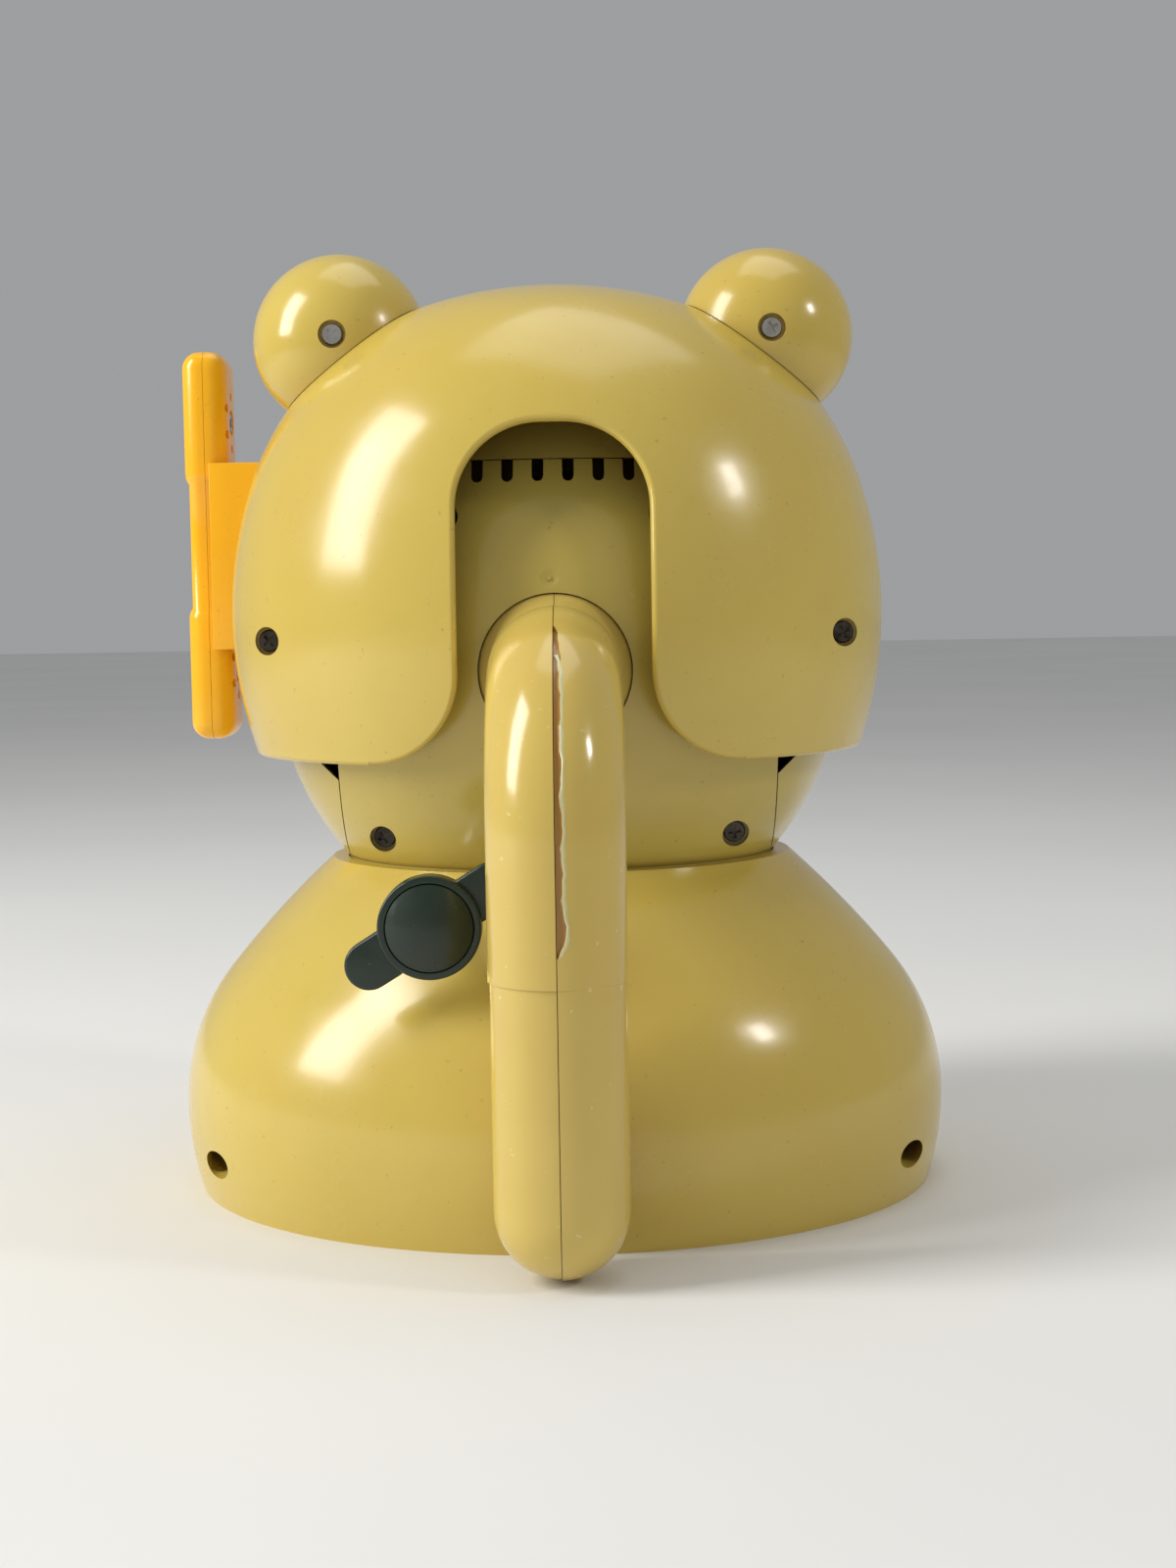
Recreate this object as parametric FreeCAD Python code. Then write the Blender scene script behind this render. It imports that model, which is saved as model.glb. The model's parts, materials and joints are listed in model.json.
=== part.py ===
import FreeCAD, Part
import math
import os

Vector = FreeCAD.Vector

# Frame: X to the right seen from the back, Y towards the face, Z up, origin on the floor under the body
x_axis = Vector(1, 0, 0)
y_axis = Vector(0, 1, 0)
z_axis = Vector(0, 0, 1)

# Fits
seat_gap = 0.15
panel_gap = 0.25
neck_gap = 0.4
running_gap = 0.05
moving_gap = 0.4
thread_gap = 0.05
reach = 400.0
tiny = 0.001
seam_turn = 45.0

# Body shell
body_half_width = 95.2
body_half_depth = 84.0
body_widest_height = 21.0
body_foot_radius = 70.5
body_belly_radius = 52.4
body_belly_sweep = 39.0
body_shoulder_radius = 238.0
body_top_height = 81.5
body_wall = 2.5

# Base plate
base_plate_thickness = 3.0
base_plate_gap = 0.3
base_screw_inset_x = 33.7
base_screw_inset_y = 30.5
base_boss_radius = 5.5
base_boss_height = 14.0

# Inner head ball and its back panel
ball_half_width = 71.0
ball_half_depth = 62.0
ball_centre_height = 128.6
ball_wall = 2.5
neck_flange_width = 2.4
neck_flange_height = 2.0
panel_half_width = 52.0
panel_top_height = 177.0
vent_count = 6
vent_pitch = 7.0
vent_width = 2.7
vent_depth = 5.2
panel_upper_screw_x = 25.2
panel_upper_screw_height = 164.0
panel_lower_screw_x = 42.0
panel_lower_screw_height = 88.5
panel_recess_depth = 7.0

# Head shell
shell_half_width = 81.0
shell_half_depth = 71.0
shell_centre_height = 141.0
shell_top_height = 222.0
shell_edge_height = 107.5
shell_side_radius = 101.4
shell_corner_radius = 68.0
shell_crown_radius = 104.0
shell_wall = 2.6
shell_screw_x = 68.0
shell_screw_height = 136.0
shell_boss_face = 30.0

# Arch cut-out in the back of the head shell
arch_half_width = 22.2
arch_top_height = 185.3
arch_corner_radius = 19.5
arch_foot_radius = 21.0

# Ears
ear_radius = 21.6
ear_x = 52.8
ear_height = 209.0
ear_wall = 2.4
ear_recess_depth = 2.6
ear_peg_radius = 5.0
ear_peg_reach = 12.0
ear_peg_flange_width = 2.0
ear_peg_flange_height = 2.0

# Screws, their recesses and bosses
recess_radius = 3.35
recess_floor = 2.0
boss_wall = 1.9
screw_head_radius = 2.7
screw_head_height = 1.9
screw_radius = 1.5
screw_length = 14.0
short_screw_length = 9.0

# Body screws low on the sides
body_screw_inset = 12.2
body_screw_height = 11.4
body_recess_floor = 13.0

# Tail lever
lever_pivot_depth = 54.0
lever_pivot_height = 128.7
lever_ball_radius = 18.2
lever_tube_radius = 14.9
lever_neck_run = 13.0
lever_bend_radius = 33.0
lever_tip_floor_gap = 0.5
lever_wall = 2.4
lever_axle_radius = 2.0
lever_hub_radius = 4.5
lever_lug_gap = 1.0
lever_lug_thickness = 3.2
lever_lug_half_height = 6.5
lever_finger_width = 5.0
lever_finger_root = 12.0
lever_finger_height = 3.0
lever_finger_lift = 3.7
lever_finger_reach = 20.4

# Bell and hammer in the head
hammer_pivot_depth = 20.0
hammer_pivot_height = 132.0
hammer_pin_radius = 1.5
hammer_arm_radius = 1.3
hammer_arm_length = 30.0
hammer_head_radius = 4.0
hammer_tail_length = 15.2
hammer_tail_thickness = 1.6
hammer_tail_width = 6.0
hammer_hub_radius = 3.2
hammer_hub_width = 8.0
gong_depth = 16.6
gong_inner_radius = 16.9
gong_wall = 1.4
gong_height = 16.0
gong_mouth_height = 160.0
gong_post_radius = 4.0

# Winding key
key_x = -28.5
key_height = 73.0
key_disc_radius = 11.6
key_rim_height = 2.4
key_dome_radius = 9.7
key_dome_height = 2.6
key_wing_depth = 72.2
key_wing_thickness = 3.4
key_wing_radius = 5.5
key_wing_reach = 16.2
key_wing_angle = 212.0
key_arbor_radius = 2.5
key_arbor_seat = 3.0
key_wall_gap = 0.4

# Musical movement behind the key
plate_depth = 29.0
plate_thickness = 1.5
plate_span = 18.5
plate_left = -46.0
plate_right = 8.0
plate_bottom = 38.0
plate_shoulder = 66.0
plate_head_radius = 9.0
movement_post_places = [(-41.0, 42.0), (3.0, 42.0), (3.0, 62.0)]
pillar_places = [(-43.0, 62.0), (-34.0, 41.0), (-4.5, 63.5), (5.0, 52.0)]
movement_post_radius = 4.0
pillar_radius = 2.0
gear_module = 0.8
gear_thickness = 2.5
gear_front_gap = 1.0
barrel_teeth = 30
drum_teeth = 24
governor_teeth = 10
tooth_rise = 0.7
tooth_root_share = 0.28
tooth_tip_share = 0.1
drum_direction = -56.0
governor_direction = -23.0
barrel_radius = 10.8
barrel_wall = 1.0
barrel_length = 14.0
mainspring_turns = 4
mainspring_inner_radius = 3.6
mainspring_pitch = 1.3
mainspring_thickness = 0.5
mainspring_width = 11.0
drum_radius = 7.0
drum_length = 13.5
drum_shaft_radius = 1.2
comb_tip_gap = 0.6
comb_thickness = 1.2
comb_length = 21.0
comb_width = 12.6
comb_teeth = 9
comb_slit = 0.5
comb_foot_length = 6.0
comb_root_length = 1.0
comb_foot_height = 6.0
governor_shaft_radius = 1.0
fly_radius = 8.0
fly_thickness = 0.8
fly_width = 5.0
fly_gap = 1.0

# Finger dial on the front
dial_tilt = 24.0
dial_face_depth = 82.1
dial_face_height = 45.4
dial_pad_radius = 27.0
dial_pad_length = 17.0
dial_pad_wall = 2.5
dial_plate_radius = 25.6
dial_plate_thickness = 2.0
dial_rim_width = 2.0
dial_rim_height = 2.4
dial_wheel_radius = 21.6
dial_wheel_thickness = 2.0
dial_wheel_gap = 1.0
dial_hole_count = 10
dial_hole_step = 30.0
dial_hole_radius = 3.5
dial_hole_circle = 15.4
dial_first_hole = 75.0
dial_cap_radius = 7.5
dial_cap_height = 2.8
dial_spindle_radius = 2.0
dial_spindle_reach = 12.0
dial_collar_radius = 6.5
dial_collar_height = 1.2
dial_stop_angle = 20.0
dial_stop_width = 4.0
dial_stop_gap = 0.8
dial_stop_thickness = 1.4
dial_stop_inner_radius = 13.0
spring_turns = 4
spring_radius = 4.6
spring_wire_radius = 0.6
spring_pitch = 1.75

# Handset at the cheek
handset_outer_x = 96.7
handset_thickness = 11.6
handset_y = 30.0
handset_top_height = 210.0
handset_bottom_height = 109.5
lobe_half_height = 18.0
lobe_half_depth = 9.5
lobe_round = 4.5
grip_half_width = 9.0
grip_outer_step = 1.1
grip_thickness = 8.0
grip_round = 3.0
handset_wall = 2.0
handset_boss_inset = 1.0
handset_recess_depth = 2.0
handset_screw_length = 6.0
sound_hole_radius = 1.2
sound_hole_circle = 6.8
sound_hole_count = 6

# Bracket that holds the handset
bracket_top_height = 181.0
bracket_bottom_height = 133.0
bracket_face_gap = 0.6
bracket_jaw_gap = 0.35
bracket_jaw_thickness = 2.6
bracket_jaw_reach = 2.5
bracket_tongue_half_height = 11.0
bracket_screw_half_spacing = 7.0
bracket_screw_seat = 64.8

# Face
muzzle_half_width = 31.0
muzzle_half_height = 23.0
muzzle_reach = 84.0
muzzle_centre_depth = 58.0
muzzle_height = 131.0
muzzle_wall = 2.4
muzzle_peg_x = 16.0
muzzle_peg_radius = 2.5
muzzle_peg_length = 6.0
nose_half_width = 10.5
nose_half_height = 7.5
nose_half_depth = 6.0
nose_height = 143.0
nose_depth = 80.0
eye_radius = 7.0
eye_x = 27.0
eye_height = 163.0
eye_rise = 2.0
eye_peg_radius = 2.0
eye_peg_length = 6.0


def box(low, high):
    size = Vector(*high) - Vector(*low)
    return Part.makeBox(size.x, size.y, size.z, Vector(*low))


def rod(start, axis, radius, length):
    return Part.makeCylinder(radius, length, Vector(*start), axis)


def front_side():
    return box((-reach, 0, -reach), (reach, reach, reach))


def back_side():
    return box((-reach, -reach, -reach), (reach, 0, reach))


def left_side():
    return box((-reach, -reach, -reach), (0, reach, reach))


def above(height):
    return box((-reach, -reach, height), (reach, reach, reach))


def stretched_in_depth(shape, factor):
    matrix = FreeCAD.Matrix()
    matrix.A22 = factor
    return shape.transformGeometry(matrix)


def both_sides(function, side_x):
    return [function(side * side_x) for side in (-1, 1)]


def arc_point(centre, radius, angle):
    return Vector(centre.x + radius * math.cos(angle), 0, centre.z + radius * math.sin(angle))


def arc_edges(arcs):
    edges = []
    for centre, radius, start, end in arcs:
        points = [arc_point(centre, radius, angle) for angle in (start, (start + end) / 2, end)]
        edges.append(Part.Arc(*points).toShape())
    return edges


def line_edges(corners):
    pairs = zip(corners, corners[1:])
    return [Part.makeLine(first, second) for first, second in pairs if first.distanceToPoint(second) > tiny]


def profile_face(edges):
    return Part.Face(Part.Wire(Part.__sortEdges__(edges)))


def turned_dome(arcs, depth_share):
    """Solid turned from arcs that run up from its foot."""
    edges = arc_edges(arcs)
    foot = edges[0].Vertexes[0].Point
    top = edges[-1].Vertexes[-1].Point
    edges += line_edges([top, Vector(0, 0, top.z), Vector(0, 0, foot.z), foot])
    solid = profile_face(edges).revolve(Vector(0, 0, 0), z_axis, 360)
    solid.rotate(Vector(0, 0, 0), z_axis, seam_turn)
    return stretched_in_depth(solid, depth_share)


def turned_wall(outer_arcs, inner_arcs, depth_share, depth_side):
    """Half of a hollow dome, turned through half a circle towards the front (1) or the back (-1)."""
    outer = arc_edges(outer_arcs)
    inner = arc_edges(inner_arcs)
    outer_top = outer[-1].Vertexes[-1].Point
    inner_top = inner[-1].Vertexes[-1].Point
    edges = outer + inner + line_edges([outer[0].Vertexes[0].Point, inner[0].Vertexes[0].Point])
    edges += line_edges([outer_top, Vector(0, 0, outer_top.z), Vector(0, 0, inner_top.z), inner_top])
    solid = profile_face(edges).revolve(Vector(0, 0, 0), z_axis * depth_side, 180)
    return stretched_in_depth(solid, depth_share)


def body_arcs(inset):
    """Three arcs: foot and belly meet at the widest place, the shoulder runs on to the flat top."""
    join = math.radians(body_belly_sweep)
    foot_centre = Vector(body_half_width - body_foot_radius, 0, body_widest_height)
    belly_centre = Vector(body_half_width - body_belly_radius, 0, body_widest_height)
    shoulder_centre = arc_point(belly_centre, body_belly_radius - body_shoulder_radius, join)
    foot_radius = body_foot_radius - inset
    shoulder_radius = body_shoulder_radius - inset
    foot_angle = -math.asin(body_widest_height / foot_radius)
    top_angle = math.asin((body_top_height - inset - shoulder_centre.z) / shoulder_radius)
    return [
        (foot_centre, foot_radius, foot_angle, 0),
        (belly_centre, body_belly_radius - inset, 0, join),
        (shoulder_centre, shoulder_radius, join, top_angle),
    ]


def body_solid(inset):
    return turned_dome(body_arcs(inset), body_half_depth / body_half_width)


def shell_side_centre():
    return Vector(shell_half_width - shell_side_radius, 0, shell_centre_height)


def shell_crown_centre():
    return Vector(0, 0, shell_top_height - shell_crown_radius)


def shell_corner_centre():
    """Centre of the corner arc, which touches the side arc and the crown arc from inside."""
    side = shell_side_centre()
    crown = shell_crown_centre()
    side_reach = shell_side_radius - shell_corner_radius
    crown_reach = shell_crown_radius - shell_corner_radius
    between = side - crown
    along = (crown_reach**2 - side_reach**2 + between.Length**2) / (2 * between.Length)
    across = math.sqrt(crown_reach**2 - along**2)
    direction = Vector(between).normalize()
    return crown + direction * along + Vector(direction.z, 0, -direction.x) * across


def direction_angle(start, end):
    return math.atan2(end.z - start.z, end.x - start.x)


def shell_arcs(inset):
    """Three arcs: side, corner and crown."""
    side = shell_side_centre()
    corner = shell_corner_centre()
    crown = shell_crown_centre()
    side_radius = shell_side_radius - inset
    edge_angle = math.asin((shell_edge_height - side.z) / side_radius)
    side_join = direction_angle(side, corner)
    crown_join = direction_angle(crown, corner)
    return [
        (side, side_radius, edge_angle, side_join),
        (corner, shell_corner_radius - inset, side_join, crown_join),
        (crown, shell_crown_radius - inset, crown_join, math.pi / 2),
    ]


def shell_solid(inset):
    return turned_dome(shell_arcs(inset), shell_half_depth / shell_half_width)


def shell_depth_at(x, height):
    side = shell_side_centre()
    slice_radius = side.x + math.sqrt(shell_side_radius**2 - (height - side.z) ** 2)
    return shell_half_depth / shell_half_width * math.sqrt(slice_radius**2 - x**2)


def ball_solid(inset):
    ball = stretched_in_depth(
        Part.makeSphere(ball_half_width - inset),
        (ball_half_depth - inset) / (ball_half_width - inset),
    )
    ball.translate(Vector(0, 0, ball_centre_height))
    return ball


def ball_half_width_at(height):
    return math.sqrt(ball_half_width**2 - (height - ball_centre_height) ** 2)


def ball_depth_at(x, height):
    slice_radius = ball_half_width_at(height)
    return ball_half_depth / ball_half_width * math.sqrt(slice_radius**2 - x**2)


def oval_prism(half_width, half_depth, bottom, top):
    oval = Part.Ellipse(Vector(0, 0, bottom), half_width, half_depth).toShape()
    return Part.Face(Part.Wire(oval)).extrude(z_axis * (top - bottom))


def neck_prism(margin, bottom, top):
    half_width = ball_half_width_at(neck_top_height)
    half_depth = half_width * ball_half_depth / ball_half_width
    return oval_prism(half_width + margin, half_depth + margin, bottom, top)


def screw(seat, axis, length):
    """Pan-head screw whose head sits on the seat point and whose shank runs along the axis."""
    seat_point = Vector(*seat)
    head = Part.makeCylinder(screw_head_radius, screw_head_height, seat_point, axis * -1)
    return head.fuse(Part.makeCylinder(screw_radius, length, seat_point, axis))


def clear_hole(start, axis, length):
    return rod(start, axis, screw_radius + thread_gap, length)


neck_top_height = body_top_height + seat_gap
neck_height = body_wall + 2 * seat_gap
boss_radius = recess_radius + boss_wall
lever_pivot = Vector(0, -lever_pivot_depth, lever_pivot_height)
body_screw_x = body_half_width - body_screw_inset


# Body


def body_screw_hole(x):
    recess = rod((x, -reach, body_screw_height), y_axis, recess_radius, reach - body_recess_floor)
    return recess.fuse(clear_hole((x, -reach, body_screw_height), y_axis, reach + screw_length))


def base_boss(x, y):
    return rod((x, y, base_plate_thickness), z_axis, base_boss_radius, base_boss_height)


def base_boss_hole(x, y):
    return clear_hole((x, y, 0), z_axis, base_plate_thickness + base_boss_height - recess_floor)


def base_points(depth_side):
    x = body_half_width - base_screw_inset_x
    y = body_half_depth - base_screw_inset_y
    return [(side * x, depth_side * y) for side in (-1, 1)]


def body_half(depth_side, bosses, holes):
    outer = body_solid(0)
    wall = turned_wall(body_arcs(0), body_arcs(body_wall), body_half_depth / body_half_width, depth_side)
    shell = wall.cut(neck_prism(neck_gap, 0, reach))
    for x, y in base_points(depth_side):
        bosses.append(base_boss(x, y))
        holes.append(base_boss_hole(x, y))
    return shell.fuse([boss.common(outer) for boss in bosses]).cut(holes)


def body_back():
    bosses = []
    for x in (-body_screw_x, body_screw_x):
        bosses.append(rod((x, -reach, body_screw_height), y_axis, boss_radius, reach))
    bosses += movement_posts()
    holes = both_sides(body_screw_hole, body_screw_x) + movement_post_holes() + [key_hole()]
    return body_half(-1, bosses, holes)


def body_front():
    bosses = []
    for x in (-body_screw_x, body_screw_x):
        bosses.append(rod((x, 0, body_screw_height), y_axis, boss_radius, reach))
    holes = both_sides(body_screw_hole, body_screw_x)
    half = body_half(1, bosses, holes)
    return half.fuse(dial_pad()).cut(dial_pad_hollow())


def body_screws():
    seats = [(x, -body_recess_floor, body_screw_height) for x in (-body_screw_x, body_screw_x)]
    return Part.makeCompound([screw(seat, y_axis, screw_length) for seat in seats])


def base_plate():
    centre, radius, foot_angle, _ = body_arcs(body_wall + base_plate_gap)[0]
    half_width = arc_point(centre, radius, foot_angle).x
    half_depth = half_width * body_half_depth / body_half_width
    plate = oval_prism(half_width, half_depth, 0, base_plate_thickness)
    for depth_side in (-1, 1):
        for x, y in base_points(depth_side):
            plate = plate.cut(rod((x, y, 0), z_axis, recess_radius, screw_head_height))
            plate = plate.cut(clear_hole((x, y, 0), z_axis, base_plate_thickness))
    return plate


def base_screws():
    seats = [(x, y, screw_head_height) for x, y in base_points(-1) + base_points(1)]
    return Part.makeCompound([screw(seat, z_axis, short_screw_length) for seat in seats])


# Inner head


def panel_block(margin):
    half_width = panel_half_width + margin
    return box((-half_width, -reach, -reach), (half_width, margin, panel_top_height + margin))


def panel_screw_points():
    points = []
    for side in (-1, 1):
        points.append((side * panel_upper_screw_x, panel_upper_screw_height))
        points.append((side * panel_lower_screw_x, panel_lower_screw_height))
    return points


def panel_boss_depth(x, height):
    return ball_depth_at(x, height) - panel_recess_depth - recess_floor


def panel_boss(x, height):
    depth = panel_boss_depth(x, height)
    return rod((x, -reach, height), y_axis, boss_radius, reach - depth)


def panel_screw_hole(x, height):
    seat = panel_boss_depth(x, height) + recess_floor
    recess = rod((x, -reach, height), y_axis, recess_radius, reach - seat)
    return recess.fuse(clear_hole((x, -reach, height), y_axis, reach - seat + screw_length))


def vent(index):
    x = (index - (vent_count - 1) / 2) * vent_pitch
    bottom = panel_top_height - vent_depth + vent_width / 2
    slot = box((x - vent_width / 2, -reach, bottom), (x + vent_width / 2, 0, reach))
    return slot.fuse(rod((x, -reach, bottom), y_axis, vent_width / 2, reach))


def lever_lug(side):
    inner = side * (lever_ball_radius + lever_lug_gap)
    outer = inner + side * lever_lug_thickness
    low_x = min(inner, outer)
    high_x = max(inner, outer)
    front = -hammer_pivot_depth + lever_lug_half_height
    low = (low_x, -ball_half_depth, lever_pivot_height - lever_lug_half_height)
    high = (high_x, front, hammer_pivot_height + lever_lug_half_height)
    return box(low, high)


def lever_lug_holes():
    axle_start = (-reach, -lever_pivot_depth, lever_pivot_height)
    pin_start = (-reach, -hammer_pivot_depth, hammer_pivot_height)
    return [
        rod(axle_start, x_axis, lever_axle_radius + running_gap, 2 * reach),
        rod(pin_start, x_axis, hammer_pin_radius + running_gap, 2 * reach),
    ]


def inner_head_panel():
    outer = ball_solid(0)
    panel = outer.cut(ball_solid(ball_wall)).common(panel_block(0)).common(above(neck_top_height))
    additions = [panel_boss(x, height) for x, height in panel_screw_points()]
    additions += [lever_lug(side) for side in (-1, 1)]
    panel = panel.fuse([addition.common(outer) for addition in additions]).common(above(neck_top_height))
    cuts = [panel_screw_hole(x, height) for x, height in panel_screw_points()]
    cuts += [vent(index) for index in range(vent_count)]
    cuts += lever_lug_holes()
    cuts.append(Part.makeSphere(lever_ball_radius + moving_gap, lever_pivot, y_axis))
    return panel.cut(cuts)


def head_post(x, height):
    start = -panel_boss_depth(x, height)
    post = rod((x, start, height), y_axis, boss_radius, reach)
    back = post.common(ball_solid(ball_wall + panel_gap))
    return back.fuse(post.common(front_side()).common(ball_solid(0)))


def shell_screw_boss(x):
    return rod((x, -shell_boss_face, shell_screw_height), y_axis, boss_radius, shell_boss_face)


def gong_post():
    bottom = gong_mouth_height + gong_height
    return rod((0, -gong_depth, bottom), z_axis, gong_post_radius, reach)


def inner_head_front():
    outer = ball_solid(0)
    head = outer.cut(ball_solid(ball_wall)).common(above(neck_top_height)).cut(panel_block(panel_gap))
    neck = neck_prism(0, neck_top_height - neck_height, neck_top_height)
    flange_bottom = neck_top_height - neck_height - neck_flange_height
    flange = neck_prism(neck_flange_width, flange_bottom, neck_top_height - neck_height)
    ring = neck.fuse(flange).cut(neck_prism(-ball_wall, 0, reach))
    posts = [head_post(x, height) for x, height in panel_screw_points()]
    inside_shell = shell_solid(shell_wall + panel_gap)
    side_bosses = [boss.common(inside_shell) for boss in both_sides(shell_screw_boss, shell_screw_x)]
    head = head.fuse([ring, gong_post().common(outer)] + posts + side_bosses)
    cuts = [panel_screw_hole(x, height) for x, height in panel_screw_points()]
    for x in (-shell_screw_x, shell_screw_x):
        cuts.append(clear_hole((x, -shell_boss_face, shell_screw_height), y_axis, screw_length))
    gong_top = gong_mouth_height + gong_height
    cuts.append(clear_hole((0, -gong_depth, gong_top), z_axis, short_screw_length))
    return head.cut(cuts)


def panel_screws():
    screws = []
    for x, height in panel_screw_points():
        seat = -panel_boss_depth(x, height) - recess_floor
        screws.append(screw((x, seat, height), y_axis, screw_length))
    return Part.makeCompound(screws)


# Head shell


def arch_cutter():
    """Prism behind the head: a tall rounded arch, open at the bottom, with flared feet."""
    edge = shell_edge_height
    bottom = edge - arch_foot_radius
    foot_x = arch_half_width + arch_foot_radius
    foot_z = edge + arch_foot_radius
    spring_z = arch_top_height - arch_corner_radius
    crown_x = arch_half_width - arch_corner_radius
    foot_middle = arch_foot_radius * math.sqrt(0.5)
    corner_middle = arch_corner_radius * math.sqrt(0.5)

    def points(side):
        places = [
            (crown_x, arch_top_height),
            (crown_x + corner_middle, spring_z + corner_middle),
            (arch_half_width, spring_z),
            (arch_half_width, foot_z),
            (foot_x - foot_middle, foot_z - foot_middle),
            (foot_x, edge),
            (foot_x, bottom),
        ]
        return [Vector(side * x, 0, z) for x, z in places]

    edges = []
    for side in (-1, 1):
        crown, corner, spring, straight, flare, foot, low = points(side)
        edges.append(Part.Arc(crown, corner, spring).toShape())
        edges.append(Part.makeLine(spring, straight))
        edges.append(Part.Arc(straight, flare, foot).toShape())
        edges.append(Part.makeLine(foot, low))
    edges.append(Part.makeLine(points(-1)[0], points(1)[0]))
    edges.append(Part.makeLine(points(-1)[-1], points(1)[-1]))
    face = Part.Face(Part.Wire(Part.__sortEdges__(edges)))
    return face.extrude(Vector(0, -reach, 0))


def shell_boss(x):
    return rod((x, -reach, shell_screw_height), y_axis, boss_radius, reach - shell_boss_face)


def shell_screw_hole(x):
    seat = shell_boss_face + recess_floor
    recess = rod((x, -reach, shell_screw_height), y_axis, recess_radius, reach - seat)
    return recess.fuse(clear_hole((x, -reach, shell_screw_height), y_axis, reach))


def ear_centre(side):
    return Vector(side * ear_x, 0, ear_height)


def ear_direction(side):
    """From an ear towards the middle of the head."""
    direction = Vector(0, 0, shell_centre_height) - ear_centre(side)
    return direction.normalize()


def ear_peg(side, margin):
    direction = ear_direction(side)
    root = ear_radius - ear_wall / 2
    start = ear_centre(side) - direction * root
    return Part.makeCylinder(ear_peg_radius + margin, root + ear_peg_reach, start, direction)


def shell_half(depth_side):
    wall = turned_wall(shell_arcs(0), shell_arcs(shell_wall), shell_half_depth / shell_half_width, depth_side)
    return wall.cut([ear_peg(side, seat_gap) for side in (-1, 1)])


def head_shell_back():
    outer = shell_solid(0)
    shell = shell_half(-1)
    bosses = [boss.common(outer) for boss in both_sides(shell_boss, shell_screw_x)]
    shell = shell.fuse(bosses).cut(both_sides(shell_screw_hole, shell_screw_x))
    return shell.cut(arch_cutter())


def head_shell_front():
    shell = shell_half(1)
    cuts = [eye_peg(side, seat_gap) for side in (-1, 1)] + [muzzle_peg(side, seat_gap) for side in (-1, 1)]
    cuts += [bracket_screw_hole(height) for height in bracket_screw_heights()]
    return shell.cut(cuts)


def shell_screws():
    seat = -shell_boss_face - recess_floor
    seats = [(x, seat, shell_screw_height) for x in (-shell_screw_x, shell_screw_x)]
    return Part.makeCompound([screw(point, y_axis, screw_length) for point in seats])


# Ears


def ear_half(side, half_space):
    """Half of a hollow ball that sits on the head shell, with half of the peg that the shell traps."""
    centre = ear_centre(side)
    outer = Part.makeSphere(ear_radius, centre)
    boss = rod((centre.x, -ear_radius, centre.z), y_axis, boss_radius, 2 * ear_radius).common(outer)
    ear = outer.cut(Part.makeSphere(ear_radius - ear_wall, centre)).fuse(boss).cut(shell_solid(-seat_gap))
    flange_start = centre + ear_direction(side) * ear_peg_reach
    flange_radius = ear_peg_radius + ear_peg_flange_width
    flange = Part.makeCylinder(flange_radius, ear_peg_flange_height, flange_start, ear_direction(side))
    ear = ear.fuse([ear_peg(side, 0), flange])
    seat = ear_radius - ear_recess_depth
    recess = rod((centre.x, -reach, centre.z), y_axis, recess_radius, reach - seat)
    hole = clear_hole((centre.x, -seat, centre.z), y_axis, seat + screw_length)
    return ear.cut([recess, hole]).common(half_space)


def ear_screws():
    screws = []
    for side in (-1, 1):
        centre = ear_centre(side)
        seat = (centre.x, -ear_radius + ear_recess_depth, centre.z)
        screws.append(screw(seat, y_axis, ear_radius - ear_recess_depth + screw_length / 2))
    return Part.makeCompound(screws)


# Tail lever


def lever_solid(inset):
    """Ball, bent tube and round tip of the tail lever."""
    radius = lever_tube_radius - inset
    neck_end = lever_pivot - y_axis * lever_neck_run
    bend_centre = neck_end - z_axis * lever_bend_radius
    drop_start = bend_centre - y_axis * lever_bend_radius
    tip_height = lever_tube_radius + lever_tip_floor_gap
    tip = Vector(0, drop_start.y, tip_height)
    circle = Part.Face(Part.Wire(Part.makeCircle(radius, neck_end, y_axis)))
    pieces = [Part.makeCylinder(radius, lever_neck_run, lever_pivot, y_axis * -1)]
    pieces.append(circle.revolve(bend_centre, x_axis, 90))
    pieces.append(Part.makeCylinder(radius, drop_start.z - tip_height, tip, z_axis))
    pieces.append(Part.makeSphere(radius, tip))
    return Part.makeSphere(lever_ball_radius - inset, lever_pivot).fuse(pieces).removeSplitter()


def lever_finger():
    low = lever_pivot + Vector(-lever_finger_width / 2, lever_finger_root, lever_finger_lift)
    top = lever_finger_lift + lever_finger_height
    return box(low, lever_pivot + Vector(lever_finger_width / 2, lever_finger_reach, top))


def lever_half_left():
    outer = lever_solid(0)
    hub_start = lever_pivot - x_axis * lever_ball_radius
    hub = Part.makeCylinder(lever_hub_radius, 2 * lever_ball_radius, hub_start, x_axis)
    lever = outer.cut(lever_solid(lever_wall)).fuse([hub.common(outer), lever_finger()])
    bore_start = lever_pivot - x_axis * reach
    axle_bore = Part.makeCylinder(lever_axle_radius + running_gap, 2 * reach, bore_start, x_axis)
    return lever.cut(axle_bore).common(left_side())


def lever_half_right():
    return lever_half_left().mirror(Vector(0, 0, 0), x_axis)


def cross_pin_length():
    return 2 * (lever_ball_radius + lever_lug_gap + lever_lug_thickness)


def lever_axle():
    length = cross_pin_length()
    return Part.makeCylinder(lever_axle_radius, length, lever_pivot - x_axis * length / 2, x_axis)


# Bell and hammer


def hammer_pivot():
    return Vector(0, -hammer_pivot_depth, hammer_pivot_height)


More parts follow.
